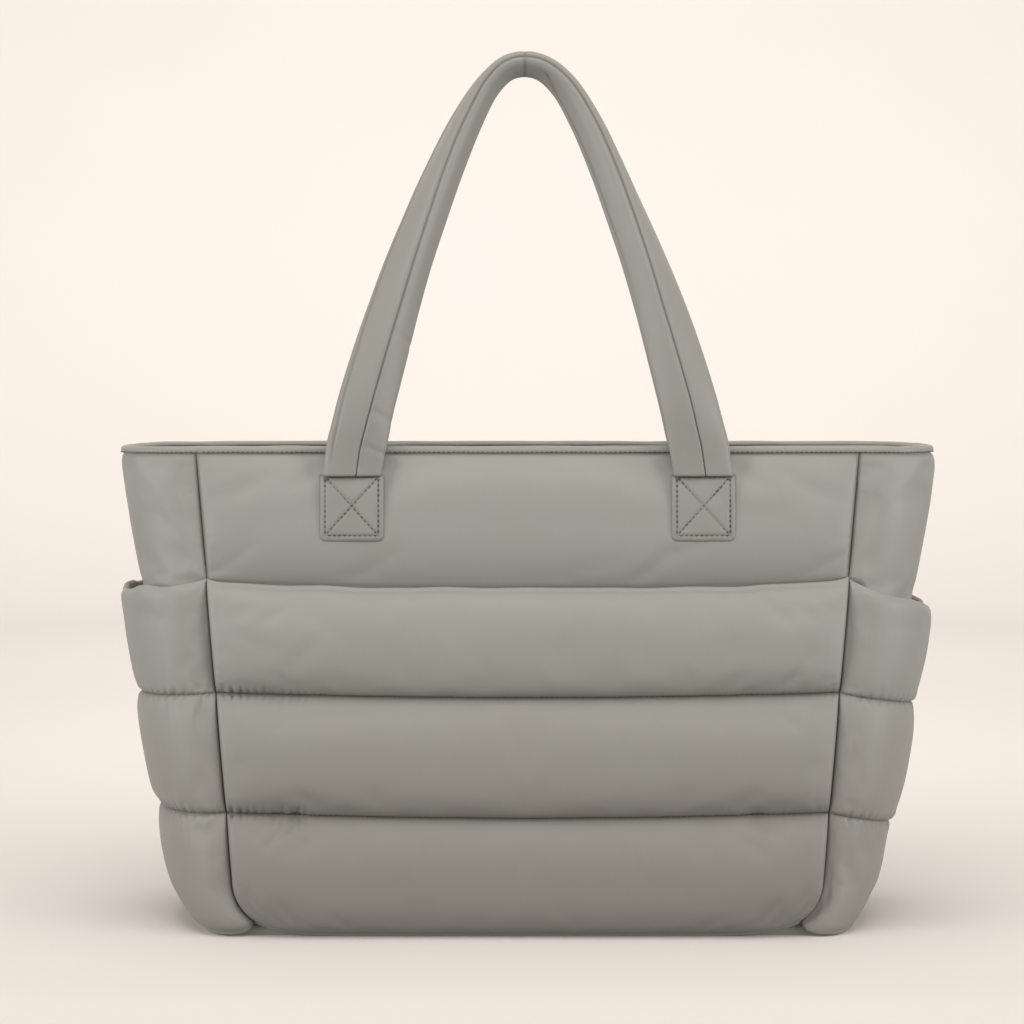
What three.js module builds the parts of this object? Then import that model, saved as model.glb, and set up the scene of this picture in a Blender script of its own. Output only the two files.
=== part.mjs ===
// A quilted puffer tote bag that stands on its flat base with both handles up.
// The bag is a tapered tub of padded panels: a front, a back, two gussets and a base. Over it are sewn
// a quilted pocket on the front and on the back, and an open quilted pocket round each gusset.
// Millimetres, +Z up. The origin is on the floor, at the middle of the base. The front faces -Y.
import * as THREE from "three";

// The tub: outside sizes of its panels before their padding crowns outwards
const BODY_HEIGHT = 278.5; // floor to the top of the rim binding
const RIM_WIDTH = 475;
const RIM_DEPTH = 110;
const BASE_WIDTH = 372;
const BASE_DEPTH = 148;
const RIM_SEAM_SPAN = 380; // between the two upright seams of a face, at the rim
const BASE_SEAM_SPAN = 330;
const BASE_THICKNESS = 7;
const WALL_THICKNESS = 4.5;
const RIM_SQUARENESS = 2.8; // of a gusset's plan: 2 is an ellipse, more is squarer
const BASE_SQUARENESS = 2.1;
const SEAM_GAP = 0.4; // between two pieces that are sewn together
const RIM_SAG = 2; // how far the rim hangs at the middle of a gusset

// Padding
const FACE_CROWN = 7; // how far the plain upper part of a face swells
const GUSSET_CROWN = 5;
const SEAM_THICKNESS = 2.6; // padding pressed flat along a quilting seam
const HEM_THICKNESS = 3.8; // a pocket's turned mouth
const FACE_PUFF = 13; // how far a channel swells past its seams
const SIDE_PUFF = 6.5;
const SIDE_STANDOFF = 13.9; // how far a side pocket hangs away from its gusset
const CORNER_WIDTH = 36; // a face pocket's lower corners are quarters of an ellipse
const CORNER_HEIGHT = 30;
const BOTTOM_TUCK = 38; // height over which a side pocket closes onto the base
const FOOT_LIFT = 0.8; // pockets end this far above the floor
const CORNER_LIFT = 7; // more lift where two pockets meet, so that the base's corner shows

// Rim binding, folded over the top of the panels
const BINDING_CAP = 1.3;
const BINDING_FLANGE = 1.1;
const BINDING_DEPTH = 2.4;

// Handles
const STRAP_WIDTH = 33.8;
const STRAP_THICKNESS = 10.5;
const FRONT_SPREAD = 196.5; // between the middles of the front handle's two ends
const BACK_SPREAD = 209;
const HANDLE_RISE = 221; // from the rim to the middle of the strap at its highest point
const HANDLE_PARTING = 5; // between the two handles where they lean together
const STRAP_JOIN_DROP = 16; // from the rim down to where a strap's padding ends
const END_THINNING = 0.62; // share of the strap's thickness that is left at its ends
const PATCH_MARGIN = 1.6; // a patch is this much wider than its strap on each side
const PATCH_HEIGHT = 38;
const PATCH_THICKNESS = 2.6;

// The lines of the quilting. height and the sags are shares of the body height, and a sag is how far the line
// hangs at the middle of a piece. The puffs are shares of FACE_PUFF and SIDE_PUFF for the channel above the line.
const QUILT_LINES = [
  { name: "foot", height: 0, faceSag: 0, sideSag: 0, facePuff: 1, sidePuff: 0.4 },
  { name: "lower seam", height: 0.2528, faceSag: 0.0115, sideSag: 0.029, facePuff: 1, sidePuff: 1 },
  { name: "upper seam", height: 0.4973, faceSag: 0.0104, sideSag: 0.029, facePuff: 1, sidePuff: 0.5 },
  { name: "mouth", height: 0.7217, faceSag: 0.0122, sideSag: 0.05, facePuff: 0, sidePuff: 0 },
];
const MOUTH = QUILT_LINES.length - 1;
// Places along one channel, from its lower seam to its upper one
const CHANNEL_STEPS = [0, 0.05, 0.17, 0.42, 0.7, 0.9];
// Places across a piece, from its middle to its edge
const FACE_STEPS = [0, 0.2, 0.45, 0.68, 0.85, 0.95, 0.988, 1];
const SIDE_STEPS = [0, 0.14, 0.3, 0.46, 0.62, 0.77, 0.9, 0.97, 1];
const WALL_STEPS = [0, 0.3, 0.6, 0.85, 0.96, 1];
// Places up the plain upper part of a panel, from the pocket's mouth to the rim binding
const CROWN_STEPS = [0, 0.06, 0.2, 0.4, 0.62, 0.82, 0.95, 1];
const CURVE_STEPS = 32;
const STRAP_STATIONS = 40;

// droop multiplies the sags of a side: the right one hangs lower
const SIDES = [
  { name: "left", sign: -1, droop: 0.62 },
  { name: "right", sign: 1, droop: 1.36 },
];
const FACES = [
  { name: "front", sign: -1, spread: FRONT_SPREAD },
  { name: "back", sign: 1, spread: BACK_SPREAD },
];

// The middle line of a handle, from its end to its top: shares of half its spread and of its rise
const LOOP_LINE = [
  { across: 0.975, rise: 0.035 },
  { across: 0.935, rise: 0.105 },
  { across: 0.86, rise: 0.227 },
  { across: 0.778, rise: 0.351 },
  { across: 0.689, rise: 0.476 },
  { across: 0.583, rise: 0.602 },
  { across: 0.467, rise: 0.728 },
  { across: 0.338, rise: 0.855 },
  { across: 0.225, rise: 0.945 },
  { across: 0.118, rise: 0.989 },
];

// A strap's section, as shares: across of half its width, out of its thickness from back (-) to front (+).
// A flat backing strip carries a padded front with an off-centre joint line.
const STRAP_SECTION = [
  { across: -0.97, out: -0.3 },
  { across: -0.5, out: -0.4 },
  { across: 0.5, out: -0.4 },
  { across: 0.97, out: -0.3 },
  { across: 1, out: -0.14 },
  { across: 0.93, out: -0.02 },
  { across: 0.93, out: 0.26 },
  { across: 0.72, out: 0.5 },
  { across: 0.34, out: 0.57 },
  { across: 0.26, out: 0.43 },
  { across: 0.18, out: 0.58 },
  { across: -0.45, out: 0.57 },
  { across: -0.76, out: 0.48 },
  { across: -0.93, out: 0.24 },
  { across: -0.93, out: -0.02 },
  { across: -1, out: -0.14 },
];
const STRAP_BACK = 0.4; // the section's reach behind its middle, as a share of its thickness

const { lerp, clamp, smoothstep } = THREE.MathUtils;
const panelTop = BODY_HEIGHT - BINDING_CAP - SEAM_GAP;
const crownTop = panelTop - BINDING_DEPTH - SEAM_GAP;
const wallFoot = BASE_THICKNESS + SEAM_GAP;
const patchTop = BODY_HEIGHT - STRAP_JOIN_DROP;

const halfWidth = (z) => lerp(BASE_WIDTH, RIM_WIDTH, z / BODY_HEIGHT) / 2;
const halfDepth = (z) => lerp(BASE_DEPTH, RIM_DEPTH, z / BODY_HEIGHT) / 2;
const seamAt = (z) => lerp(BASE_SEAM_SPAN, RIM_SEAM_SPAN, z / BODY_HEIGHT) / 2;

// How far the upright seam of a pocket turns inwards near the floor
function cornerInset(z) {
  const below = clamp(1 - z / CORNER_HEIGHT, 0, 1);
  return CORNER_WIDTH * (1 - Math.sqrt(1 - below ** 2));
}

// How far the rim hangs at a place across a gusset
function rimDip(side, across) {
  return RIM_SAG * side.droop * (1 - across ** 2);
}

// 0 at a piece's edges and 1 over its middle; a larger power has a flatter middle, a smaller root steeper edges
function pillow(place, power, root) {
  return Math.pow(clamp(1 - Math.abs(place) ** power, 0, 1), root);
}

// A gusset's plan curve at height z, from its middle to its seam: a quarter of a superellipse
function gussetCurve(z) {
  const seam = seamAt(z);
  const across = halfWidth(z) - seam;
  const deep = halfDepth(z);
  const power = lerp(BASE_SQUARENESS, RIM_SQUARENESS, z / BODY_HEIGHT);
  const points = [];
  let length = 0;
  for (let i = 0; i <= CURVE_STEPS; i++) {
    const turn = ((i / CURVE_STEPS) * Math.PI) / 2;
    const x = seam + across * Math.pow(Math.abs(Math.cos(turn)), 2 / power);
    const y = deep * Math.pow(Math.sin(turn), 2 / power);
    if (i > 0) length += Math.hypot(x - points[i - 1].x, y - points[i - 1].y);
    points.push({ x, y, length });
  }
  return { points, length, seam, across, deep, power };
}

// The point and the outward normal of the tub at height z, a distance along the plan curve from the middle
// of the right gusset. Past the seam the curve goes on along the straight face.
function tubPoint(z, distance) {
  const curve = gussetCurve(z);
  const along = Math.abs(distance);
  const towards = Math.sign(distance) || 1;
  if (along >= curve.length) {
    const x = curve.seam - (along - curve.length);
    return { x, y: towards * curve.deep, nx: 0, ny: towards };
  }
  const next = curve.points.findIndex((p) => p.length > along);
  const [a, b] = [curve.points[next - 1], curve.points[next]];
  const share = (along - a.length) / (b.length - a.length);
  const x = lerp(a.x, b.x, share);
  const y = lerp(a.y, b.y, share);
  const nx = Math.pow((x - curve.seam) / curve.across, curve.power - 1) / curve.across;
  const ny = Math.pow(y / curve.deep, curve.power - 1) / curve.deep;
  const size = Math.hypot(nx, ny);
  return { x, y: towards * y, nx: nx / size, ny: (towards * ny) / size };
}

// A point that stands out from a gusset: across runs from -1 at its front seam to 1 at its back seam
function gussetPoint(side, across, z, out, extra = 0) {
  const reach = gussetCurve(z).length + extra - SEAM_GAP / 2;
  const p = tubPoint(z, across * reach);
  return new THREE.Vector3(side.sign * (p.x + out * p.nx), p.y + out * p.ny, z);
}

// A point that stands out from a face: across runs from -1 to 1 between its two upright seams
function facePoint(face, across, z, out, inset = 0) {
  const reach = seamAt(z) - inset - SEAM_GAP / 2;
  return new THREE.Vector3(across * reach, face.sign * (halfDepth(z) + out), z);
}

// Steps from a piece's middle, mirrored to run from -1 to 1
function mirrored(steps) {
  return [...steps.slice(1).reverse().map((s) => -s), ...steps];
}

// A closed solid from its corner points and triangles, turned to face outwards
function closedSolid(points, triangles) {
  let volume = 0;
  for (const [a, b, c] of triangles) {
    volume += points[a].dot(new THREE.Vector3().crossVectors(points[b], points[c]));
  }
  const index = triangles.flatMap(([a, b, c]) => (volume < 0 ? [a, c, b] : [a, b, c]));
  const geometry = new THREE.BufferGeometry().setFromPoints(points);
  geometry.setIndex(index);
  geometry.computeVertexNormals();
  return geometry;
}

// A padded slab between an outer and an inner skin, each a function of a column and a row place
function slab(columns, rows, outer, inner) {
  const points = [];
  const triangles = [];
  const skins = [outer, inner].map((skin) =>
    columns.map((column) => rows.map((row) => points.push(skin(column, row)) - 1)),
  );
  const quad = (a, b, c, d) => triangles.push([a, b, c], [a, c, d]);
  const [out, back] = skins;
  const lastColumn = columns.length - 1;
  const lastRow = rows.length - 1;
  for (let i = 0; i < lastColumn; i++) {
    for (let j = 0; j < lastRow; j++) {
      quad(out[i][j], out[i + 1][j], out[i + 1][j + 1], out[i][j + 1]);
      quad(back[i][j], back[i][j + 1], back[i + 1][j + 1], back[i + 1][j]);
    }
    quad(out[i][0], back[i][0], back[i + 1][0], out[i + 1][0]);
    quad(out[i][lastRow], out[i + 1][lastRow], back[i + 1][lastRow], back[i][lastRow]);
  }
  for (let j = 0; j < lastRow; j++) {
    quad(out[0][j], out[0][j + 1], back[0][j + 1], back[0][j]);
    quad(out[lastColumn][j], back[lastColumn][j], back[lastColumn][j + 1], out[lastColumn][j + 1]);
  }
  return closedSolid(points, triangles);
}

// A solid through a row of equal loops: a ring if it closes on itself, or else capped with two flat ends
function loft(loops, isRing, capFaces = []) {
  const count = loops[0].length;
  const triangles = [];
  const strips = isRing ? loops.length : loops.length - 1;
  for (let i = 0; i < strips; i++) {
    const here = i * count;
    const there = ((i + 1) % loops.length) * count;
    for (let j = 0; j < count; j++) {
      const next = (j + 1) % count;
      triangles.push([here + j, there + j, there + next], [here + j, there + next, here + next]);
    }
  }
  const end = (loops.length - 1) * count;
  for (const [a, b, c] of isRing ? [] : capFaces) {
    triangles.push([a, b, c], [end + a, end + c, end + b]);
  }
  return closedSolid(loops.flat(), triangles);
}

// Every place round the tub's plan: at gives its point for a height and a distance outwards, and dip is how
// far the rim hangs there
function aroundTub() {
  const [left, right] = SIDES;
  const [front, back] = FACES;
  const seamless = SEAM_GAP / 2;
  const onSide = (side, u) => ({ at: (z, out) => gussetPoint(side, u, z, out, seamless), dip: rimDip(side, u) });
  const onFace = (face, u) => ({ at: (z, out) => facePoint(face, u, z, out, -seamless), dip: 0 });
  const across = mirrored(SIDE_STEPS);
  const inner = mirrored(WALL_STEPS).slice(1, -1);
  return [
    ...inner.map((u) => onFace(front, u)),
    ...across.map((u) => onSide(right, u)),
    ...inner.map((u) => onFace(back, -u)),
    ...across.map((u) => onSide(left, -u)),
  ];
}

// The height of a quilting line at a place across a face or a side
function faceLine(line, across) {
  return (line.height - line.faceSag * (1 - across ** 2)) * BODY_HEIGHT;
}
function sideLine(side, line, across) {
  return (line.height - line.sideSag * side.droop * (1 - across ** 2)) * BODY_HEIGHT;
}

// How far the plain upper part of a face swells, above the mouth of the pocket over it
function faceCrown(across, z) {
  const mouth = faceLine(QUILT_LINES[MOUTH], across);
  const up = clamp((z - mouth) / (crownTop - mouth), 0, 1);
  return FACE_CROWN * pillow(2 * up - 1, 2.6, 0.75) * pillow(across, 10, 0.5);
}

// How far a gusset swells, from its foot to the rim
function gussetCrown(side, across, z) {
  const up = clamp((z - wallFoot) / (crownTop - rimDip(side, across) - wallFoot), 0, 1);
  return GUSSET_CROWN * pillow(2 * up - 1, 4, 0.6) * pillow(across, 2.4, 0.7);
}

// Rows of a tub panel: its foot, a few down its covered part, the steps of its plain upper part, and its top
// inside the binding
const FOOT_ROW = -1;
const TOP_ROW = 2;
const WALL_ROWS = [FOOT_ROW, -0.85, -0.5, ...CROWN_STEPS, TOP_ROW];
function wallHeight(row, mouth, dip) {
  if (row < 0) return lerp(mouth, wallFoot, -row);
  return (row === TOP_ROW ? panelTop : lerp(mouth, crownTop, row)) - dip;
}

function facePanel(face) {
  const skin = (out) => (across, row) => {
    const z = wallHeight(row, faceLine(QUILT_LINES[MOUTH], across), 0);
    return facePoint(face, across, z, out(across, z));
  };
  const rows = WALL_ROWS.filter((row) => row === FOOT_ROW || row >= 0);
  return slab(mirrored(WALL_STEPS), rows, skin(faceCrown), skin(() => -WALL_THICKNESS));
}

function gussetPanel(side) {
  const skin = (out) => (across, row) => {
    const z = wallHeight(row, sideLine(side, QUILT_LINES[MOUTH], across), rimDip(side, across));
    return gussetPoint(side, across, z, out(side, across, z));
  };
  return slab(mirrored(SIDE_STEPS), WALL_ROWS, skin(gussetCrown), skin(() => -WALL_THICKNESS));
}

function basePanel() {
  const loops = [0, BASE_THICKNESS].map((z) => aroundTub().map((place) => place.at(z, 0)));
  const outline = loops[0].map((p) => new THREE.Vector2(p.x, p.y));
  return loft(loops, false, THREE.ShapeUtils.triangulateShape(outline, []));
}

// Rows of a quilted pocket: a channel and a share of the way up it
const QUILT_ROWS = [
  ...QUILT_LINES.slice(0, MOUTH).flatMap((line, channel) => CHANNEL_STEPS.map((up) => ({ channel, up }))),
  { channel: MOUTH - 1, up: 1 },
];

// The thickness of a quilted piece: pressed flat at its seams, a turned hem at its mouth, fullest below the
// middle of each channel
function quiltThickness(row, across, puff) {
  const isTop = row.channel === MOUTH - 1;
  const hem = isTop ? smoothstep(row.up, 0.7, 1) * (HEM_THICKNESS - SEAM_THICKNESS) : 0;
  const swell = pillow(2 * Math.pow(row.up, 0.85) - 1, 2.8, 0.6);
  return SEAM_THICKNESS + hem + puff * swell * pillow(across, 12, 0.45);
}

// The height of a quilted piece's row between two lines, where line gives a line's height across the piece
function quiltHeight(row, line, foot) {
  const low = row.channel ? line(QUILT_LINES[row.channel]) : foot;
  return lerp(low, line(QUILT_LINES[row.channel + 1]), row.up);
}

function facePocket(face) {
  const skin = (isOuter) => (across, row) => {
    const z = quiltHeight(row, (line) => faceLine(line, across), FOOT_LIFT + CORNER_LIFT * across ** 20);
    const puff = FACE_PUFF * QUILT_LINES[row.channel].facePuff;
    const thickness = isOuter ? quiltThickness(row, across, puff) : 0;
    return facePoint(face, across, z, SEAM_GAP + thickness, cornerInset(z));
  };
  return slab(mirrored(FACE_STEPS), QUILT_ROWS, skin(true), skin(false));
}

// How far a side pocket's inner skin hangs away from the gusset: nothing at its seams and at the base
function standoff(across, z) {
  const tuck = 1 - clamp(z / BOTTOM_TUCK, 0, 1);
  return SIDE_STANDOFF * pillow(across, 2.2, 0.8) * Math.sqrt(1 - tuck ** 2);
}

function sidePocket(side) {
  const skin = (isOuter) => (across, row) => {
    const z = quiltHeight(row, (line) => sideLine(side, line, across), FOOT_LIFT + CORNER_LIFT * across ** 8);
    const puff = SIDE_PUFF * QUILT_LINES[row.channel].sidePuff;
    const thickness = isOuter ? quiltThickness(row, across, puff) : 0;
    const out = SEAM_GAP + standoff(across, z) + thickness;
    return gussetPoint(side, across, z, out, cornerInset(z));
  };
  return slab(mirrored(SIDE_STEPS), QUILT_ROWS, skin(true), skin(false));
}

// A strip folded over the panels' top edges, its two flanges hanging inside and outside
function rimBinding() {
  const inside = -WALL_THICKNESS - SEAM_GAP;
  const low = panelTop - BINDING_DEPTH;
  const shoulder = BODY_HEIGHT - BINDING_CAP / 2;
  const section = [
    { out: inside - BINDING_FLANGE, z: low },
    { out: inside, z: low },
    { out: inside, z: panelTop + SEAM_GAP },
    { out: SEAM_GAP, z: panelTop + SEAM_GAP },
    { out: SEAM_GAP, z: low },
    { out: SEAM_GAP + BINDING_FLANGE, z: low },
    { out: SEAM_GAP + BINDING_FLANGE, z: shoulder },
    { out: -WALL_THICKNESS / 2 + BINDING_CAP, z: BODY_HEIGHT },
    { out: -WALL_THICKNESS / 2 - BINDING_CAP, z: BODY_HEIGHT },
    { out: inside - BINDING_FLANGE, z: shoulder },
  ];
  const loops = aroundTub().map((place) => section.map(({ out, z }) => place.at(z - place.dip, out)));
  return loft(loops, true);
}

// The distance of a face's outer skin from the bag's middle, at a place and a height
function faceSurface(x, z) {
  return halfDepth(z) + faceCrown(x / seamAt(z), z);
}

// A square patch that lies on the face and covers the sewn end of a strap
function anchorPatch(face, side) {
  const half = STRAP_WIDTH / 2 + PATCH_MARGIN;
  const steps = [-1, -0.5, 0, 0.5, 1];
  const skin = (out) => (across, up) => {
    const x = (side.sign * face.spread) / 2 + across * half;
    const z = patchTop - SEAM_GAP - PATCH_HEIGHT * (1 - up);
    return new THREE.Vector3(x, face.sign * (faceSurface(x, z) + SEAM_GAP + out), z);
  };
  return slab(steps, [0, 0.25, 0.5, 0.75, 1], skin(PATCH_THICKNESS), skin(0));
}

// The middle line of a strap: up the face from one patch, over in a pointed loop that leans inwards, and down
function strapPath(face) {
  const back = STRAP_THICKNESS * STRAP_BACK;
  const halfSpread = face.spread / 2;
  const endY = faceSurface(halfSpread, patchTop) + SEAM_GAP + back * END_THINNING;
  const rimY = halfDepth(BODY_HEIGHT) + 2 * SEAM_GAP + BINDING_FLANGE + back;
  const topY = (HANDLE_PARTING + STRAP_WIDTH) / 2;
  const points = [new THREE.Vector3(halfSpread, face.sign * endY, patchTop)];
  for (const { across, rise } of [{ across: 1, rise: 0 }, ...LOOP_LINE]) {
    const y = lerp(Math.max(rimY, endY), topY, smoothstep(rise, 0, 1));
    points.push(new THREE.Vector3(across * halfSpread, face.sign * y, BODY_HEIGHT + HANDLE_RISE * rise));
  }
  const mirror = points.map((p) => new THREE.Vector3(-p.x, p.y, p.z));
  const top = new THREE.Vector3(0, face.sign * topY, BODY_HEIGHT + HANDLE_RISE);
  return new THREE.CatmullRomCurve3([...mirror, top, ...points.reverse()], false, "centripetal");
}

// The strap lies flat against the face at its ends and turns a quarter on its way to the top
function handle(face) {
  const path = strapPath(face);
  const outwards = new THREE.Vector3(0, face.sign, 0);
  const loops = [];
  for (let i = 0; i <= STRAP_STATIONS; i++) {
    const middle = path.getPointAt(i / STRAP_STATIONS);
    const isEnd = i === 0 || i === STRAP_STATIONS;
    const along = isEnd ? new THREE.Vector3(0, 0, i ? -1 : 1) : path.getTangentAt(i / STRAP_STATIONS);
    const front = outwards.clone().addScaledVector(along, -outwards.dot(along)).normalize();
    const away = new THREE.Vector3(middle.x, 0, HANDLE_RISE);
    const crown = new THREE.Vector3().crossVectors(front, along);
    if (crown.dot(away) < 0) crown.negate();
    const rise = clamp((middle.z - BODY_HEIGHT) / HANDLE_RISE, 0, 1);
    const turn = (rise * Math.PI) / 2;
    const out = front.multiplyScalar(Math.cos(turn)).addScaledVector(crown, Math.sin(turn));
    const across = new THREE.Vector3().crossVectors(along, out);
    const climb = smoothstep(middle.z, patchTop, BODY_HEIGHT + STRAP_WIDTH);
    const thickness = STRAP_THICKNESS * lerp(END_THINNING, 1, climb);
    loops.push(
      STRAP_SECTION.map((p) =>
        middle.clone().addScaledVector(across, (p.across * STRAP_WIDTH) / 2).addScaledVector(out, p.out * thickness),
      ),
    );
  }
  const outline = STRAP_SECTION.map((p) => new THREE.Vector2(p.across, p.out));
  return loft(loops, false, THREE.ShapeUtils.triangulateShape(outline, []));
}

// Matte coated nylon, and the slightly lighter cloth of the straps and the binding
const shellCloth = new THREE.MeshStandardMaterial({ color: "#9c9992", roughness: 0.62, metalness: 0 });
const trimCloth = new THREE.MeshStandardMaterial({ color: "#a09d96", roughness: 0.58, metalness: 0 });

const tote = new THREE.Group();
function add(name, geometry, material) {
  const mesh = new THREE.Mesh(geometry, material);
  mesh.name = name;
  tote.add(mesh);
}

add("base_panel", basePanel(), shellCloth);
add("rim_binding", rimBinding(), trimCloth);
for (const side of SIDES) {
  add(`${side.name}_gusset`, gussetPanel(side), shellCloth);
  add(`${side.name}_side_pocket`, sidePocket(side), shellCloth);
}
for (const face of FACES) {
  add(`${face.name}_panel`, facePanel(face), shellCloth);
  add(`${face.name}_pocket`, facePocket(face), shellCloth);
  add(`${face.name}_handle`, handle(face), trimCloth);
  for (const side of SIDES) {
    add(`${face.name}_${side.name}_patch`, anchorPatch(face, side), trimCloth);
  }
}

export default tote;
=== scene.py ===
import math

import bpy
import numpy as np
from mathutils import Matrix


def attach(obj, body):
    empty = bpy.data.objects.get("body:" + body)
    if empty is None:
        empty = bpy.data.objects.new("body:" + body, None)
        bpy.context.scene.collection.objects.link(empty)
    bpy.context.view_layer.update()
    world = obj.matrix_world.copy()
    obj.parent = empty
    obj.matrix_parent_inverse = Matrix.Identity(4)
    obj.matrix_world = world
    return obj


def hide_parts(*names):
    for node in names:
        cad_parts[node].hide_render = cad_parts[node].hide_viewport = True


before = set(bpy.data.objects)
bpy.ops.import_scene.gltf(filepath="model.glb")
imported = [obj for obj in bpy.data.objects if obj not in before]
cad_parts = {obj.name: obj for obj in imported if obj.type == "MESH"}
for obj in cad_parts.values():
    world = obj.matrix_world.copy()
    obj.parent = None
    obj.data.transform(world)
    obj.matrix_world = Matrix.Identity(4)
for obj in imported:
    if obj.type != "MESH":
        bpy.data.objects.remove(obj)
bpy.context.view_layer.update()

MM = 0.001

# The tub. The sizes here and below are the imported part's, except that SIDES, FACES, END_THINNING and
# LOOP_LINE follow the photograph more closely, by a few millimetres.
BODY_HEIGHT = 278.5
RIM_WIDTH = 475
RIM_DEPTH = 110
BASE_WIDTH = 372
BASE_DEPTH = 148
RIM_SEAM_SPAN = 380
BASE_SEAM_SPAN = 330
BASE_THICKNESS = 7
WALL_THICKNESS = 4.5
RIM_SQUARENESS = 2.8
BASE_SQUARENESS = 2.1
SEAM_GAP = 0.4
FACE_CROWN = 7
SEAM_THICKNESS = 2.6
HEM_THICKNESS = 3.8
FACE_PUFF = 13
SIDE_PUFF = 6.5
CORNER_WIDTH = 36
CORNER_HEIGHT = 30
BOTTOM_TUCK = 38
FOOT_LIFT = 0.8
CORNER_LIFT = 7
BINDING_CAP = 1.3
BINDING_FLANGE = 1.1
BINDING_DEPTH = 2.4

# The handles and the patches over their ends
STRAP_WIDTH = 33.8
STRAP_THICKNESS = 10.5
HANDLE_RISE = 221
HANDLE_PARTING = 5
STRAP_JOIN_DROP = 16
END_THINNING = 0.5
PATCH_MARGIN = 1.6
PATCH_HEIGHT = 38
PATCH_THICKNESS = 2.6
PATCH_CORNER = 3.5
LOOP_LINE = (
    (0.974, 0),
    (0.955, 0.035),
    (0.919, 0.105),
    (0.845, 0.227),
    (0.765, 0.351),
    (0.678, 0.476),
    (0.579, 0.602),
    (0.471, 0.728),
    (0.343, 0.855),
    (0.221, 0.945),
    (0.108, 0.989),
)

# The quilting lines, from the foot to the mouth: a height and how far each hangs at its middle,
# as shares of the body height
LINE_HEIGHTS = (0, 0.2528, 0.4973, 0.7217)
FACE_SAGS = (0, 0.0115, 0.0104, 0.0122)
CHANNELS = 3

# The two ends: the quilting lines' sags, the rim's, the channels' shares of SIDE_PUFF, how far the pocket
# hangs away from its gusset and how far the gusset swells
SIDES = (
    {
        "name": "left",
        "sign": -1,
        "sags": (0, 0.007, 0.0145, 0.025),
        "rim_dip": 0.6,
        "puffs": (0.9, 0.9, 0.45),
        "out": 12.6,
        "crown": 3.2,
    },
    {
        "name": "right",
        "sign": 1,
        "sags": (0, 0.046, 0.0394, 0.067),
        "rim_dip": 0.4,
        "puffs": (0.15, 0.8, 0.55),
        "out": 13.3,
        "crown": 5.2,
    },
)
# The faces: how far apart a handle's ends are and how much higher its top is
FACES = (
    {"name": "front", "sign": -1, "spread": 200, "lift": 0},
    {"name": "back", "sign": 1, "spread": 213, "lift": 4.5},
)

PANEL_TOP = BODY_HEIGHT - BINDING_CAP - SEAM_GAP
CROWN_TOP = PANEL_TOP - BINDING_DEPTH - SEAM_GAP
WALL_FOOT = BASE_THICKNESS + SEAM_GAP
PATCH_TOP = BODY_HEIGHT - STRAP_JOIN_DROP


# Numbers on whole arrays


def lerp(start, end, share):
    """start + (end - start) * share"""
    return start + (end - start) * share


def ease(low, high, value):
    """0 below low and 1 above high, with a smooth step between: t * t * (3 - 2t)."""
    t = np.clip((value - low) / (high - low), 0, 1)
    return t * t * (3 - 2 * t)


def pillow(place, power, root):
    """0 at -1 and 1, and 1 over the middle: (1 - |place| ^ power) ^ root."""
    return np.clip(1 - np.abs(place) ** power, 0, 1) ** root


def bell(distance, width):
    """1 at a distance of 0, falling away as exp(-(distance / width) ^ 2)."""
    return np.exp(-((distance / width) ** 2))


def wander(place, spacing, seed):
    """A smooth random line from about -1 to 1: seeded values at even knots, eased from one to the next."""
    knots = np.random.default_rng(seed).uniform(-1, 1, 512)
    at = place / spacing + 200
    low = np.floor(at).astype(int)
    share = at - low
    return lerp(knots[low % 512], knots[(low + 1) % 512], share * share * (3 - 2 * share))


def ripple(across, up, spacing, seed):
    """A smooth random surface from about -1 to 1: seeded values on a square lattice, eased both ways."""
    knots = np.random.default_rng(seed).uniform(-1, 1, (128, 128))
    a = across / spacing + 50
    b = up / spacing + 50
    i = np.floor(a).astype(int)
    j = np.floor(b).astype(int)
    s = (a - i) ** 2 * (3 - 2 * (a - i))
    t = (b - j) ** 2 * (3 - 2 * (b - j))
    low = lerp(knots[i % 128, j % 128], knots[(i + 1) % 128, j % 128], s)
    high = lerp(knots[i % 128, (j + 1) % 128], knots[(i + 1) % 128, (j + 1) % 128], s)
    return lerp(low, high, t)


def unit(vectors):
    """Vectors divided by their own lengths."""
    return vectors / np.linalg.norm(vectors, axis=-1, keepdims=True)


def spread(count, crowding):
    """Places from 0 to 1, crowded towards both ends: a mix of an even row and half a cosine wave."""
    even = np.linspace(0, 1, count)
    return lerp(even, (1 - np.cos(math.pi * even)) / 2, crowding)


# The tub's plan and its quilting lines


def half_width(z):
    """Half the tub's width at height z: a straight taper from the base to the rim."""
    return lerp(BASE_WIDTH, RIM_WIDTH, z / BODY_HEIGHT) / 2


def half_depth(z):
    """Half the tub's depth at height z: a straight taper."""
    return lerp(BASE_DEPTH, RIM_DEPTH, z / BODY_HEIGHT) / 2


def seam_at(z):
    """Where a face's upright seam is at height z: a straight taper."""
    return lerp(BASE_SEAM_SPAN, RIM_SEAM_SPAN, z / BODY_HEIGHT) / 2


def corner_inset(z):
    """How far the upright seam turns inwards near the floor: a quarter of an ellipse."""
    below = np.clip(1 - z / CORNER_HEIGHT, 0, 1)
    return CORNER_WIDTH * (1 - np.sqrt(1 - below**2))


def squareness(z):
    """The power of a gusset's superellipse at height z."""
    return lerp(BASE_SQUARENESS, RIM_SQUARENESS, z / BODY_HEIGHT)


PLAN_HEIGHTS = np.linspace(-10, 300, 63)
PLAN_SHARES = np.linspace(0, 1, 257)


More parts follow.
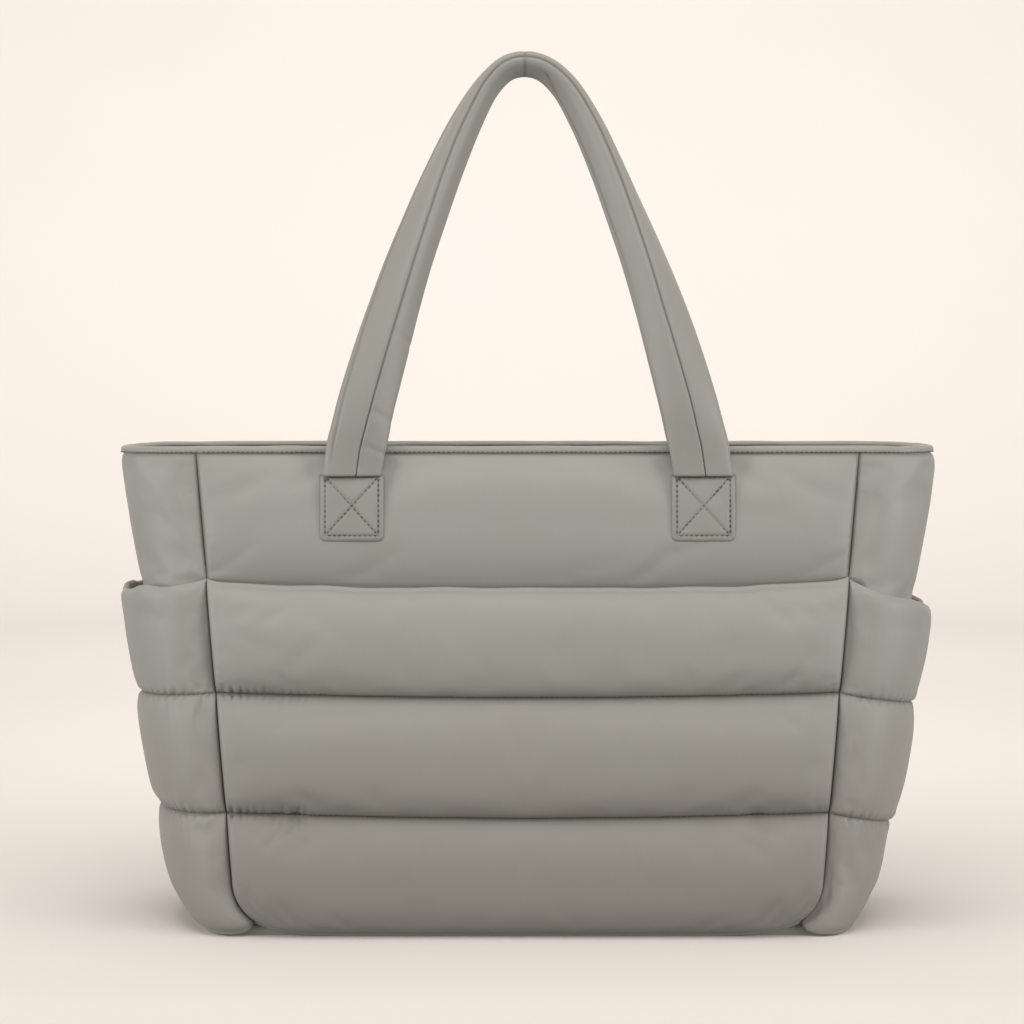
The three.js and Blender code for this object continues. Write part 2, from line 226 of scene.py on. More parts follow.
def plan_table():
    """For each of PLAN_HEIGHTS the length of the gusset's quarter curve, and its turn at even shares of it.
    The curve is seam + across * cos(turn) ^ (2 / power), depth * sin(turn) ^ (2 / power)."""
    turns = np.linspace(0, math.pi / 2, 1500)
    lengths = []
    rows = []
    for z in PLAN_HEIGHTS:
        power = squareness(z)
        x = (half_width(z) - seam_at(z)) * np.cos(turns) ** (2 / power)
        y = half_depth(z) * np.sin(turns) ** (2 / power)
        walked = np.concatenate([[0], np.cumsum(np.hypot(np.diff(x), np.diff(y)))])
        lengths.append(walked[-1])
        rows.append(np.interp(PLAN_SHARES, walked / walked[-1], turns))
    return np.array(lengths), np.array(rows)


PLAN_LENGTHS, PLAN_TURNS = plan_table()


def tub_point(z, distance):
    """The tub's point and outward normal at height z, a distance along its plan from a gusset's middle.
    The turn is read from the table between its nearest rows. Past the seam the plan runs straight on."""
    length = np.interp(z, PLAN_HEIGHTS, PLAN_LENGTHS)
    along = np.abs(distance)
    towards = np.where(distance < 0, -1.0, 1.0)
    level = (z - PLAN_HEIGHTS[0]) / (PLAN_HEIGHTS[1] - PLAN_HEIGHTS[0])
    level = np.clip(level, 0, len(PLAN_HEIGHTS) - 1.001)
    place = np.clip(along / length, 0, 1) * (len(PLAN_SHARES) - 1.001)
    i = level.astype(int)
    j = place.astype(int)
    low = lerp(PLAN_TURNS[i, j], PLAN_TURNS[i + 1, j], level - i)
    high = lerp(PLAN_TURNS[i, j + 1], PLAN_TURNS[i + 1, j + 1], level - i)
    turn = lerp(low, high, place - j)
    power = squareness(z)
    across = half_width(z) - seam_at(z)
    deep = half_depth(z)
    past = np.maximum(along - length, 0)
    side = np.abs(np.cos(turn)) ** (2 / power)
    front = np.sin(turn) ** (2 / power)
    x = seam_at(z) + across * side - past
    y = deep * front
    nx = np.where(past > 0, 0, side ** (power - 1) / across)
    ny = front ** (power - 1) / deep
    size = np.hypot(nx, ny)
    return x, towards * y, nx / size, towards * ny / size


def gusset_point(side, u, z, out, extra=0.0):
    """Points that stand out from a gusset, u from -1 at its front seam to 1 at its back seam."""
    reach = np.interp(z, PLAN_HEIGHTS, PLAN_LENGTHS) + extra - SEAM_GAP / 2
    x, y, nx, ny = tub_point(z, u * reach)
    return np.stack([side["sign"] * (x + out * nx), y + out * ny, z + 0 * x], axis=-1)


def face_point(face, u, z, out, inset=0.0):
    """Points that stand out from a face, u from -1 to 1 between its upright seams."""
    reach = seam_at(z) - inset - SEAM_GAP / 2
    x = u * reach
    return np.stack([x, face["sign"] * (half_depth(z) + out) + 0 * x, z + 0 * x], axis=-1)


def quilt_lines(u, sags):
    """The heights of the four quilting lines across a piece: each hangs as its sag * (1 - u ^ 2)."""
    return [(height - sag * (1 - u**2)) * BODY_HEIGHT for height, sag in zip(LINE_HEIGHTS, sags)]


def rim_dip(side, u):
    """How far the rim hangs at a place across a gusset."""
    return side["rim_dip"] * (1 - u**2)


# Meshes


def sweep(name, loops, is_ring=False, first_pair=0, tones=None):
    """A closed mesh through a row of equal closed loops, in an array of stations, loop places and x y z.
    A ring closes on itself. Otherwise a strip of quads closes each end: it pairs the loop's place a with
    place 2 * first_pair - 1 - a. Its UV map counts metres along the row and round the loop."""
    stations, places = loops.shape[:2]
    strips = stations if is_ring else stations - 1
    i, j = np.meshgrid(np.arange(strips), np.arange(places), indexing="ij")
    corners_i = np.stack([i, i + 1, i + 1, i], axis=-1).reshape(-1, 4)
    corners_j = np.stack([j, j, j + 1, j + 1], axis=-1).reshape(-1, 4)
    if not is_ring:
        a = np.arange(first_pair, first_pair + places // 2 - 1)
        pairs = np.stack([a, a + 1, 2 * first_pair - 2 - a, 2 * first_pair - 1 - a], axis=-1) % places
        corners_i = np.concatenate([corners_i, np.zeros_like(pairs), np.full_like(pairs, stations - 1)])
        corners_j = np.concatenate([corners_j, pairs, pairs[:, ::-1]])
    faces = (corners_i % stations) * places + corners_j % places
    points = loops.reshape(-1, 3)
    a, b, c, d = (points[faces[:, k]] for k in range(4))
    volume = np.einsum("ij,ij->i", a, np.cross(b, c) + np.cross(c, d)).sum()
    row_steps = np.linalg.norm(np.diff(loops[:, 0], axis=0, append=loops[:1, 0]), axis=-1)
    loop_steps = np.linalg.norm(np.roll(loops[stations // 2], -1, axis=0) - loops[stations // 2], axis=-1)
    along = np.concatenate([[0], np.cumsum(row_steps)])
    around = np.concatenate([[0], np.cumsum(loop_steps)])
    uvs = np.stack([along[corners_i], around[corners_j]], axis=-1) * MM
    if volume < 0:
        faces = faces[:, ::-1]
        uvs = uvs[:, ::-1]
    return mesh_object(name, points, faces, uvs, None if tones is None else tones.reshape(-1))


def grid_faces(rows, places, strips):
    """Quads between the neighbours of a grid of points. With as many strips as places each row closes."""
    i, j = np.meshgrid(np.arange(rows - 1), np.arange(strips), indexing="ij")
    beside = (j + 1) % places
    corners = [i * places + j, (i + 1) * places + j, (i + 1) * places + beside, i * places + beside]
    return np.stack(corners, axis=-1).reshape(-1, 4)


def mesh_object(name, points, faces, uvs=None, tones=None):
    """A smooth object of quads from points in millimetres, corner UVs and a darkness for each point, mostly
    painted shade and dirt.
    """
    mesh = bpy.data.meshes.new(name)
    mesh.vertices.add(len(points))
    mesh.vertices.foreach_set("co", (np.asarray(points) * MM).astype(np.float32).ravel())
    mesh.loops.add(faces.size)
    mesh.loops.foreach_set("vertex_index", np.ascontiguousarray(faces, dtype=np.int32).ravel())
    mesh.polygons.add(len(faces))
    mesh.polygons.foreach_set("loop_start", np.arange(0, faces.size, 4, dtype=np.int32))
    if uvs is not None:
        layer = mesh.uv_layers.new(name="cloth")
        layer.data.foreach_set("uv", np.ascontiguousarray(uvs, dtype=np.float32).ravel())
    mesh.update(calc_edges=True)
    mesh.shade_smooth()
    if tones is not None:
        attribute = mesh.attributes.new("dirt_and_painted_shade", "FLOAT", "POINT")
        attribute.data.foreach_set("value", tones.astype(np.float32))
    obj = bpy.data.objects.new(name, mesh)
    bpy.context.scene.collection.objects.link(obj)
    return obj


EDGE_STEPS = 6


def edge_arc(start, end, reach):
    """Points of half an ellipse from one edge to another: middle + cos * half the gap + sin * reach."""
    turns = np.linspace(0, math.pi, EDGE_STEPS + 2)[1:-1, None]
    middle = ((start + end) / 2)[:, None]
    half = ((start - end) / 2)[:, None]
    return middle + np.cos(turns) * half + np.sin(turns) * np.asarray(reach)


def padded_slab(name, outer, inner, edge_reach, tones):
    """A closed padded piece between an outer and an inner skin, with its upper and lower edges rounded."""
    reach = np.array([0, 0, edge_reach])
    top = edge_arc(outer[:, -1], inner[:, -1], reach)
    bottom = edge_arc(inner[:, 0], outer[:, 0], -reach)
    loops = np.concatenate([outer, top, inner[:, ::-1], bottom], axis=1)
    edge_tones = np.zeros((len(outer), EDGE_STEPS))
    plain = np.zeros_like(tones)
    shades = np.concatenate([tones, edge_tones, plain, edge_tones], axis=1)
    return sweep(name, loops, first_pair=-EDGE_STEPS // 2, tones=shades)


# Cloth simulation of the padded skins

CLOTH_FRAMES = 22
CLOTH_SETTINGS = {
    "quality": 6,
    "mass": 0.12,
    "tension_stiffness": 12,
    "compression_stiffness": 12,
    "shear_stiffness": 4,
    "bending_stiffness": 0.4,
    "air_damping": 4,
    "use_pressure": True,
}
# How each kind of skin is filled: its sewn rows, the air's pressure, its share of spare cloth and how far
# its points may move in millimetres
FACE_FILLING = {"sewn_rows": (1, 2), "pressure": 1.2, "spare": 0.008, "limit": 2.4}
SIDE_FILLING = {"sewn_rows": (1, 2), "pressure": 0.9, "spare": 0.009, "limit": 2}
PANEL_FILLING = {"sewn_rows": (-0.5, 1), "pressure": 0.8, "spare": 0.005, "limit": 1.4}
GUSSET_FILLING = {"sewn_rows": (-0.5, 1), "pressure": 0.6, "spare": 0.007, "limit": 1.4}


def cloth_shift(name, skin, columns, rows, sewn_rows, pressure, spare, limit):
    """How far each point of a sewn skin moves as it is filled, in millimetres, as an array like the skin.
    The skin is a sheet of cloth held at its edges and along its sewn rows, cut larger by the share spare,
    and blown outwards. No point moves further than limit."""
    points = skin(columns[:, None], rows[None, :])
    n, m = points.shape[:2]
    faces = grid_faces(n, m, m - 1)
    middle = points[n // 2, m // 2]
    normal = np.cross(points[n // 2 + 1, m // 2] - middle, points[n // 2, m // 2 + 1] - middle)
    if normal @ (middle * np.array([1, 1, 0])) < 0:
        faces = faces[:, ::-1]
    obj = mesh_object(f"{name}_cloth", points.reshape(-1, 3), faces)
    held = np.zeros((n, m), dtype=bool)
    held[[0, -1]] = True
    held[:, [0, -1]] = True
    held[:, np.isin(rows, sewn_rows)] = True
    group = obj.vertex_groups.new(name="sewn")
    group.add(np.flatnonzero(held).tolist(), 1.0, "REPLACE")
    modifier = obj.modifiers.new("filling", "CLOTH")
    cloth = modifier.settings
    for key, value in CLOTH_SETTINGS.items():
        setattr(cloth, key, value)
    cloth.uniform_pressure_force = pressure
    cloth.shrink_min = -spare
    cloth.vertex_group_mass = "sewn"
    cloth.effector_weights.gravity = 0
    modifier.collision_settings.use_collision = False
    modifier.point_cache.frame_end = CLOTH_FRAMES
    scene = bpy.context.scene
    for number in range(1, CLOTH_FRAMES + 1):
        scene.frame_set(number)
    blown = obj.evaluated_get(bpy.context.evaluated_depsgraph_get()).data
    moved = np.empty(n * m * 3, dtype=np.float32)
    blown.vertices.foreach_get("co", moved)
    scene.frame_set(1)
    bpy.data.objects.remove(obj)
    shift = moved.reshape(n, m, 3) / MM - points
    size = np.linalg.norm(shift, axis=-1, keepdims=True)
    return shift * limit * np.tanh(size / limit) / np.maximum(size, 1e-6)


def resampled(shift, columns, rows, fine_columns, fine_rows):
    """A coarse field read at a finer grid's places, linear both ways and then softened by 1 2 1 means."""
    across = np.stack([np.interp(fine_columns, columns, row) for row in np.eye(len(columns))], axis=1)
    up = np.stack([np.interp(fine_rows, rows, row) for row in np.eye(len(rows))], axis=1)
    field = np.einsum("ai,ijk,bj->abk", across, shift, up, optimize=True)
    for _ in range(3):
        field[1:-1] = (field[:-2] + 2 * field[1:-1] + field[2:]) / 4
        field[:, 1:-1] = (field[:, :-2] + 2 * field[:, 1:-1] + field[:, 2:]) / 4
    return field


def filled(name, skin, coarse, fine, filling, calm=1):
    """A skin on its fine grid, moved by the share calm of what the simulation on its coarse grid says."""
    shift = cloth_shift(name, skin, *coarse, **filling)
    columns, rows = fine
    return skin(columns[:, None], rows[None, :]) + calm * resampled(shift, *coarse, *fine)


def along_normals(points, distance, outwards):
    """Points moved along the surface's own normals, from the cross product of its two grid directions."""
    normals = np.cross(np.gradient(points, axis=0), np.gradient(points, axis=1))
    normals /= np.maximum(np.linalg.norm(normals, axis=-1, keepdims=True), 1e-9)
    normals *= np.where((normals * outwards).sum(axis=-1, keepdims=True) < 0, -1, 1)
    return points + normals * distance[..., None]


# Quilted pockets


def quilt_heights(rows, lines, foot):
    """Heights of rows that run from 0 at the foot to CHANNELS at the mouth, straight between two lines."""
    stacked = np.stack([foot + 0 * lines[0], *lines[1:]])
    channel = np.clip(rows.astype(int), 0, CHANNELS - 1).ravel()
    up = rows.ravel() - channel
    return lerp(stacked[channel, :, 0], stacked[channel + 1, :, 0], up[:, None]).T


def quilt_thickness(rows, u, puffs, upright_share):
    """Padding's thickness: flat along the seams, fullest below the middle of each channel, hemmed on top.
    At the upright seams a share of each puff is left."""
    channel = np.clip(rows.astype(int), 0, CHANNELS - 1)
    up = rows - channel
    is_top = channel == CHANNELS - 1
    hem = np.where(is_top, ease(0.7, 1, up) * (HEM_THICKNESS - SEAM_THICKNESS), 0)
    swell = pillow(2 * up**0.85 - 1, 2.8, 0.6)
    puff = np.array(puffs)[channel] * swell * lerp(upright_share, 1, pillow(u, 12, 0.45))
    return SEAM_THICKNESS + hem + puff


def seam_distance(z, lines):
    """Millimetres from each point to the nearest inner quilting line."""
    return np.minimum(np.abs(z - lines[1]), np.abs(z - lines[2]))


def channel_rows(per_channel, crowding):
    """Row places of every channel, crowded towards the seams."""
    one = spread(per_channel + 1, crowding)[:-1]
    return np.concatenate([*(one + channel for channel in range(CHANNELS)), [CHANNELS]])


def foot_height(u, power):
    """A pocket's lower edge: level, and lifted at its two corners as |u| ^ power."""
    return FOOT_LIFT + CORNER_LIFT * np.abs(u) ** power


def standoff(side, u, z):
    """How far a side pocket's inner skin hangs away from the gusset."""
    tuck = 1 - np.clip(z / BOTTOM_TUCK, 0, 1)
    return side["out"] * pillow(u, 2.2, 0.8) * np.sqrt(1 - tuck**2)


# How far apart pleats lie, and how far they and the longer folds reach from their seam
PLEAT_PITCH = 4.6
PLEAT_REACH = 4.5
FOLD_REACH = 12
FACE_FOOT_DARKENING = 0.3  # how much darker the faces' pockets grow towards their foot


def gathers(along, off_seam, strength, seed):
    """Short pleats that run away from a seam: bell(off) * a wave along it, whose pitch and height wander.
    Here and there a wider, longer fold runs on. Their depth is strength at each place."""
    phase = along / PLEAT_PITCH * 2 * math.pi + 2.6 * wander(along, 15, seed)
    short = np.cos(phase) * (0.5 + 0.5 * wander(along, 8, seed + 1)) * bell(off_seam, PLEAT_REACH)
    long = np.clip(wander(along, 5.5, seed + 2) - 0.35, 0, 1) * bell(off_seam, FOLD_REACH)
    return strength * (short + 1.6 * long * ease(0, 4, off_seam))


def upright_pleats(z, off_upright, seed):
    """Small pleats beside a pocket's upright seams, which fade out at the floor."""
    return gathers(z + 300, off_upright, 0.25 * ease(0.8, 3, off_upright), seed) * ease(6, 20, z)


def calmed(relief, off_upright, row):
    """A pocket's relief, faded out at its upright seams, its foot and its mouth."""
    return relief * ease(0, 3, off_upright) * ease(0, 0.05, row) * ease(0, 0.04, CHANNELS - row)


def seam_shades(off_seam, off_upright, pleats):
    """Painted shade, with some dirt, along a pocket's seams, and painted shade in its deepest pleats."""
    pits = np.clip(-1.1 * pleats * bell(off_seam, 3), 0, 1)
    return np.maximum.reduce([bell(off_seam, 0.9), bell(off_upright, 0.6), pits])


def crease(x, z, start, end, width, depth):
    """A valley along a straight line between two points: -depth * bell(distance), fading at its ends."""
    line = np.subtract(end, start)
    length = math.hypot(*line)
    along = ((x - start[0]) * line[0] + (z - start[1]) * line[1]) / length
    off = ((x - start[0]) * line[1] - (z - start[1]) * line[0]) / length
    past = np.maximum(np.maximum(-along, along - length), 0)
    return -depth * bell(off, width) * bell(past, 1.6 * width)


def creased(x, z, creases):
    """The sum of some creases at each place."""
    return sum(crease(x, z, *one) for one in creases)


# Soft creases of the faces above their pockets: two points in x and z, a width and a depth
PANEL_CREASES = (
    ((64, 203), (80, 217), 4.5, 1),
    ((84, 216), (96, 221), 4, 0.5),
    ((-99, 203), (-76, 217), 5, 0.7),
    ((-182, 204), (-158, 221), 4, 0.8),
    ((-176, 218), (-160, 228), 4, 0.4),
    ((160, 206), (176, 214), 4, 0.6),
    ((128, 238), (160, 246), 8, 0.5),
    ((18, 204), (44, 212), 5, 0.5),
)
# Soft creases of the pockets' faces
POCKET_CREASES = (
    ((-128, 160), (-114, 174), 5, 0.5),
    ((-118, 178), (-104, 170), 5, 0.35),
    ((-164, 172), (-146, 165), 5, 0.5),
    ((-132, 69), (-147, 54), 3, 1.1),
    ((-141, 71), (-152, 60), 3, 0.7),
    ((128, 71), (140, 61), 3.5, 0.8),
    ((138, 130), (150, 122), 3.5, 0.8),
    ((150, 148), (160, 160), 4, 0.7),
)


def face_pocket(face, across_count, per_channel):
    """A quilted pocket: three channels between sewn lines, its ends rounded in at the floor."""

    def heights(u, rows):
        lines = quilt_lines(u, FACE_SAGS)
        wave = 0.7 * wander(u * 180, spacing=23, seed=7) + 2.6 * np.abs(u) ** 30
        lines[-1] = lines[-1] - HEM_THICKNESS / 2 + wave
        return quilt_heights(rows, lines, foot_height(u, power=20) + SEAM_THICKNESS / 2)

    def skin(u, rows):
        z = heights(u, rows)
        out = SEAM_GAP + quilt_thickness(rows, u, [FACE_PUFF] * CHANNELS, upright_share=0.4)
        return face_point(face, u, z, out, corner_inset(z))

    name = f"{face['name']}_quilted_pocket"
    coarse = np.linspace(-1, 1, 121), channel_rows(26, crowding=0)
    fine = 2 * spread(across_count, crowding=0.35) - 1, channel_rows(per_channel, crowding=0.55)
    column, row = fine[0][:, None], fine[1][None, :]
    calm = lerp(0.4, 1, ease(0.4, 0.9, np.abs(column)))[..., None]
    outer = filled(name, skin, coarse, fine, FACE_FILLING, calm)
    z = heights(column, row)
    x = outer[..., 0]
    off_seam = seam_distance(z, quilt_lines(column, FACE_SAGS))
    off_upright = (1 - np.abs(column)) * seam_at(z)
    ends = 0.3 + 2.6 * ease(0.58, 0.9, -column) + 2 * ease(0.7, 0.95, column)
    pleats = gathers(x, off_seam, 0.3 * ends * ease(0.3, 1.5, off_seam), seed=11)
    relief = pleats + upright_pleats(z, off_upright, seed=23) + creased(x, z, POCKET_CREASES)
    relief = relief + 0.25 * ripple(x, z, spacing=42, seed=31) * ease(2, 14, off_seam)
    outer = along_normals(outer, calmed(relief, off_upright, row), np.array([0, face["sign"], 0]))
    inner = face_point(face, column, z, SEAM_GAP, corner_inset(z))
    foot_darkening = FACE_FOOT_DARKENING * (1 - ease(10, 150, z))
    # painted shade and dirt in the seams and pleats, and the darker foot
    shade = np.maximum(seam_shades(off_seam, off_upright, pleats), foot_darkening)
    pocket = padded_slab(name, outer, inner, HEM_THICKNESS / 2, shade)
    return finish_piece(pocket, f"{face['name']}_pocket", SHELL)


def side_pocket(side, across_count, per_channel):
    """A quilted pocket that hangs away from its gusset, with an open mouth."""
    puffs = [SIDE_PUFF * share for share in side["puffs"]]
    sign = side["sign"]

    def heights(u, rows):
        lines = quilt_lines(u, side["sags"])
        middle = (1.4 + 1.5 * wander(u * 90, spacing=14, seed=9 + sign)) * (1 - u**4)
        lines[-1] = lines[-1] - HEM_THICKNESS / 2 + (middle + 2 * np.abs(u) ** 10)
        return quilt_heights(rows, lines, foot_height(u, power=8) + SEAM_THICKNESS / 2)

    def skin(u, rows):
        z = heights(u, rows)
        out = SEAM_GAP + standoff(side, u, z) + quilt_thickness(rows, u, puffs, upright_share=0.7)
        return gusset_point(side, u, z, out, corner_inset(z))

    name = f"{side['name']}_quilted_pocket"
    coarse = np.linspace(-1, 1, 73), channel_rows(24, crowding=0)
    fine = 2 * spread(across_count, crowding=0.3) - 1, channel_rows(per_channel, crowding=0.5)
    column, row = fine[0][:, None], fine[1][None, :]
    outer = filled(name, skin, coarse, fine, SIDE_FILLING)
    z = heights(column, row)
    reach = np.interp(z, PLAN_HEIGHTS, PLAN_LENGTHS)
    walked = column * reach
    off_seam = seam_distance(z, quilt_lines(column, side["sags"]))
    off_upright = (1 - np.abs(column)) * reach
    pleats = gathers(walked + 200, off_seam, 1.1 * ease(0.3, 1.5, off_seam), seed=41 + sign)
    relief = pleats + upright_pleats(z, off_upright, seed=53)
    relief = relief + 0.3 * ripple(walked, z, spacing=26, seed=61 + sign) * ease(2, 12, off_seam)
    outer = along_normals(outer, calmed(relief, off_upright, row), np.array([sign, 0, 0]))
    inner = gusset_point(side, column, z, SEAM_GAP + standoff(side, column, z), corner_inset(z))
    shade = seam_shades(off_seam, off_upright, pleats)
    pocket = padded_slab(name, outer, inner, HEM_THICKNESS / 2, shade)
    return finish_piece(pocket, f"{side['name']}_side_pocket", SHELL)


# Plain padded panels of the tub


def face_crown(u, z):
    """How far the upper part of a face swells: nothing at the mouth, the rim and its upright seams."""
    mouth = quilt_lines(u, FACE_SAGS)[-1]
    up = np.clip((z - mouth) / (CROWN_TOP - mouth), 0, 1)
    return FACE_CROWN * pillow(2 * up - 1, 2.6, 0.75) * pillow(u, 10, 0.5)


def gusset_crown(side, u, z):
    """How far a gusset swells, from its foot to the rim."""
    up = np.clip((z - WALL_FOOT) / (CROWN_TOP - rim_dip(side, u) - WALL_FOOT), 0, 1)
    return side["crown"] * lerp(0.6, 1, up) * pillow(2 * up - 1, 8, 0.5) * pillow(u, 2.4, 0.7)


def strap_dents(face, x, z):
    """Dents of a face beside its two straps, where the pull at the rim draws the padding in."""
    total = 0
    for side in SIDES:
        off = np.abs(x - side["sign"] * face["spread"] / 2) - STRAP_WIDTH / 2 - 3
        total = total + bell(off, 7) * ease(225, 262, z)
    return -1.3 * total


LINING_LAP = 0.7  # how far the panels' linings run past their upright seams, to close them inside
WALL_COLUMNS = 2 * spread(140, 0.3) - 1
WALL_ROWS = np.concatenate([[-1, -0.8, -0.5, -0.25], spread(54, 0.4), [1.06]])
COARSE_ROWS = np.concatenate([[-1, -0.5], np.linspace(0, 1, 23), [1.06]])
PANEL_EDGE = 0.2


def wall_heights(rows, mouth, dip):
    """Heights of a panel's rows: its foot at -1, the pocket's mouth at 0, the binding at 1 and more."""
    lower = lerp(mouth, WALL_FOOT, -np.minimum(rows, 0))
    upper = lerp(mouth, CROWN_TOP, np.clip(rows, 0, 1))
    return np.where(rows < 0, lower, np.where(rows > 1, PANEL_TOP, upper)) - dip


def face_panel(face):
    """A face of the tub: plain padding above its pocket, and a flat part behind it."""

    def heights(u, rows):
        return wall_heights(rows, quilt_lines(u, FACE_SAGS)[-1], 0)

    def skin(u, rows):
        z = heights(u, rows)
        return face_point(face, u, z, face_crown(u, z))

    name = f"{face['name']}_padded_panel"
    coarse = np.linspace(-1, 1, 101), COARSE_ROWS
    outer = filled(name, skin, coarse, (WALL_COLUMNS, WALL_ROWS), PANEL_FILLING)
    column, row = WALL_COLUMNS[:, None], WALL_ROWS[None, :]
    z = heights(column, row)
    x = outer[..., 0]
    off_upright = (1 - np.abs(column)) * seam_at(z)
    relief = 0.35 * ripple(x, z, spacing=30, seed=71) + strap_dents(face, x, z)
    relief = relief + creased(x, z, PANEL_CREASES) + gathers(z + 300, off_upright, 0.25, seed=73)
    relief = relief * ease(0, 4, off_upright) * ease(0, 0.1, row) * ease(0, 0.12, 1 - row)
    outer = along_normals(outer, relief, np.array([0, face["sign"], 0]))
    inner = face_point(face, column, z, -WALL_THICKNESS, -LINING_LAP)
    # painted shade just above the pocket's mouth, and painted shade with some dirt in the upright seams
    mouth_shade = 0.25 * bell(z - quilt_lines(column, FACE_SAGS)[-1], 18)
    panel = padded_slab(name, outer, inner, PANEL_EDGE, np.maximum(bell(off_upright, 1.2), mouth_shade))
    return finish_piece(panel, f"{face['name']}_panel", SHELL)


def gusset_panel(side):
    """An end of the tub: bowed padding that shows above its side pocket."""

    def heights(u, rows):
        return wall_heights(rows, quilt_lines(u, side["sags"])[-1], rim_dip(side, u))

    def skin(u, rows):
        z = heights(u, rows)
        return gusset_point(side, u, z, gusset_crown(side, u, z))

    name = f"{side['name']}_padded_gusset"
    coarse = np.linspace(-1, 1, 61), COARSE_ROWS
    outer = filled(name, skin, coarse, (WALL_COLUMNS, WALL_ROWS), GUSSET_FILLING)
    column, row = WALL_COLUMNS[:, None], WALL_ROWS[None, :]
    z = heights(column, row)
    reach = np.interp(z, PLAN_HEIGHTS, PLAN_LENGTHS)
    off_upright = (1 - np.abs(column)) * reach
    relief = 0.4 * ripple(column * reach, z, spacing=28, seed=81 + side["sign"])
    relief = relief + gathers(z + 300, off_upright, 0.3, seed=83)
    relief = relief * ease(0, 4, off_upright) * ease(0, 0.12, 1 - row) * ease(-1, -0.6, row)
    outer = along_normals(outer, relief, np.array([side["sign"], 0, 0]))
    inner = gusset_point(side, column, z, -WALL_THICKNESS, LINING_LAP)
    # painted shade, with some dirt, in the gusset's upright seams
    panel = padded_slab(name, outer, inner, PANEL_EDGE, bell(off_upright, 1.2))
    return finish_piece(panel, f"{side['name']}_gusset", SHELL)


# Base, rim binding


def tub_outline(z, out, columns):
    """One loop round the tub at height z above its rim's dip, a distance out: right, back, left, front."""
    seamless = SEAM_GAP / 2
    u = 2 * spread(columns, 0.2) - 1
    inner = (2 * np.linspace(0, 1, columns) - 1)[1:-1]
    right, left = SIDES[1], SIDES[0]
    front, back = FACES
    parts = [
        face_point(front, inner, z + 0 * inner, out, -seamless),
        gusset_point(right, u, z - rim_dip(right, u) * (z > WALL_FOOT), out, seamless),
        face_point(back, -inner, z + 0 * inner, out, -seamless),
        gusset_point(left, -u, z - rim_dip(left, u) * (z > WALL_FOOT), out, seamless),
    ]
    return np.concatenate(parts)


def base_board():
    """The flat bottom: rings of the tub's outline drawn in to the middle, with a rounded edge."""
    middle = BASE_THICKNESS / 2
    edge = [
        tub_outline(middle + middle * math.sin(turn), -1.5 * (1 - math.cos(turn)), columns=60)
        for turn in np.linspace(-math.pi / 2, math.pi / 2, 7)
    ]
    shares = np.linspace(0.02, 1, 24)[:-1]
    lower = [edge[0] * np.array([share, share, 1]) for share in shares]
    upper = [edge[-1] * np.array([share, share, 1]) for share in shares[::-1]]
    board = sweep("base_board", np.stack([*lower, *edge, *upper]))
    return finish_piece(board, "base_panel", SHELL)


def rim_tape():
    """A strip folded over the panels' top edges: an inverted U carried round the rim."""
    inside = -WALL_THICKNESS - SEAM_GAP
    in_edge = inside - BINDING_FLANGE
    out_edge = SEAM_GAP + BINDING_FLANGE
    middle = (inside + SEAM_GAP) / 2
    half = (SEAM_GAP - inside) / 2
    low = PANEL_TOP - BINDING_DEPTH
    rounding = 0.5
    shoulder = PANEL_TOP - 0.6

    def arch(turns, reach, top):
        return [(middle + reach * math.cos(t), shoulder + (top - shoulder) * math.sin(t)) for t in turns]

    def flange_foot(start, end):
        return [(start, low + rounding), ((start + end) / 2, low), (end, low + rounding)]

    turns = np.linspace(0, math.pi, 13)
    section = arch(turns, half + BINDING_FLANGE, BODY_HEIGHT) + flange_foot(in_edge, inside)
    section += arch(turns[::-1], half, PANEL_TOP + SEAM_GAP) + flange_foot(SEAM_GAP, out_edge)
    loops = np.stack([tub_outline(z, out, columns=150) for out, z in section], axis=1)
    loops[..., 2] += 0.25 * wander(loops[..., 0] + 3 * loops[..., 1], spacing=21, seed=91)
    # painted shade on the lower inside of the tape, which lies in shadow
    inside_shade = [float(out < inside and z < shoulder + 0.1) for out, z in section]
    tape = sweep("rim_tape", loops, is_ring=True, tones=np.broadcast_to(inside_shade, loops.shape[:2]))
    return finish_piece(tape, "rim_binding", TRIM)


# Handles

# How a handle's strap folds back along its joint line, in degrees, against its rise from 0 to 1
FOLD_RISES = (0, 0.1, 0.23, 0.36, 0.48, 0.6, 0.73, 0.86, 1)
FOLD_ANGLES = (9, 16, 27, 39, 48, 55, 64, 72, 82)
# What is left of the strap's thickness on its way up
THINNING_RISES = (0, 0.3, 0.5, 0.8, 1)
THINNING_SHARES = (0.92, 0.76, 0.64, 0.54, 0.3)
# How each leg's front turns outwards, in degrees, against its rise
TURN_RISES = (0, 0.1, 0.36, 0.48, 0.62, 0.74, 0.9, 0.96, 1)
LEFT_TURNS = (-4, -10, -12, -9, -2, 5, 9, 14, 20)
RIGHT_TURNS = (2, 3, 6, 12, 19, 23, 25, 23, 20)
STRAP_STATIONS = 340
FRONT_PLACES = 49
EDGE_JOINT = 0.78  # where the second joint line is, as a share of half the strap's width
FOLD_START = 0.3  # where that line begins beside the loop's top on the right leg
APEX_SHIFT = 1.6  # the loop's very top leans this far to the left
FOLD_SOFTNESS = 3  # the fold turns from one side of the joint line to the other over about this far
# Soft creases across the inner half of the left leg: a height and a depth
STRAP_CREASES = ((344, 0.5), (300, 0.5), (281, 0.7))


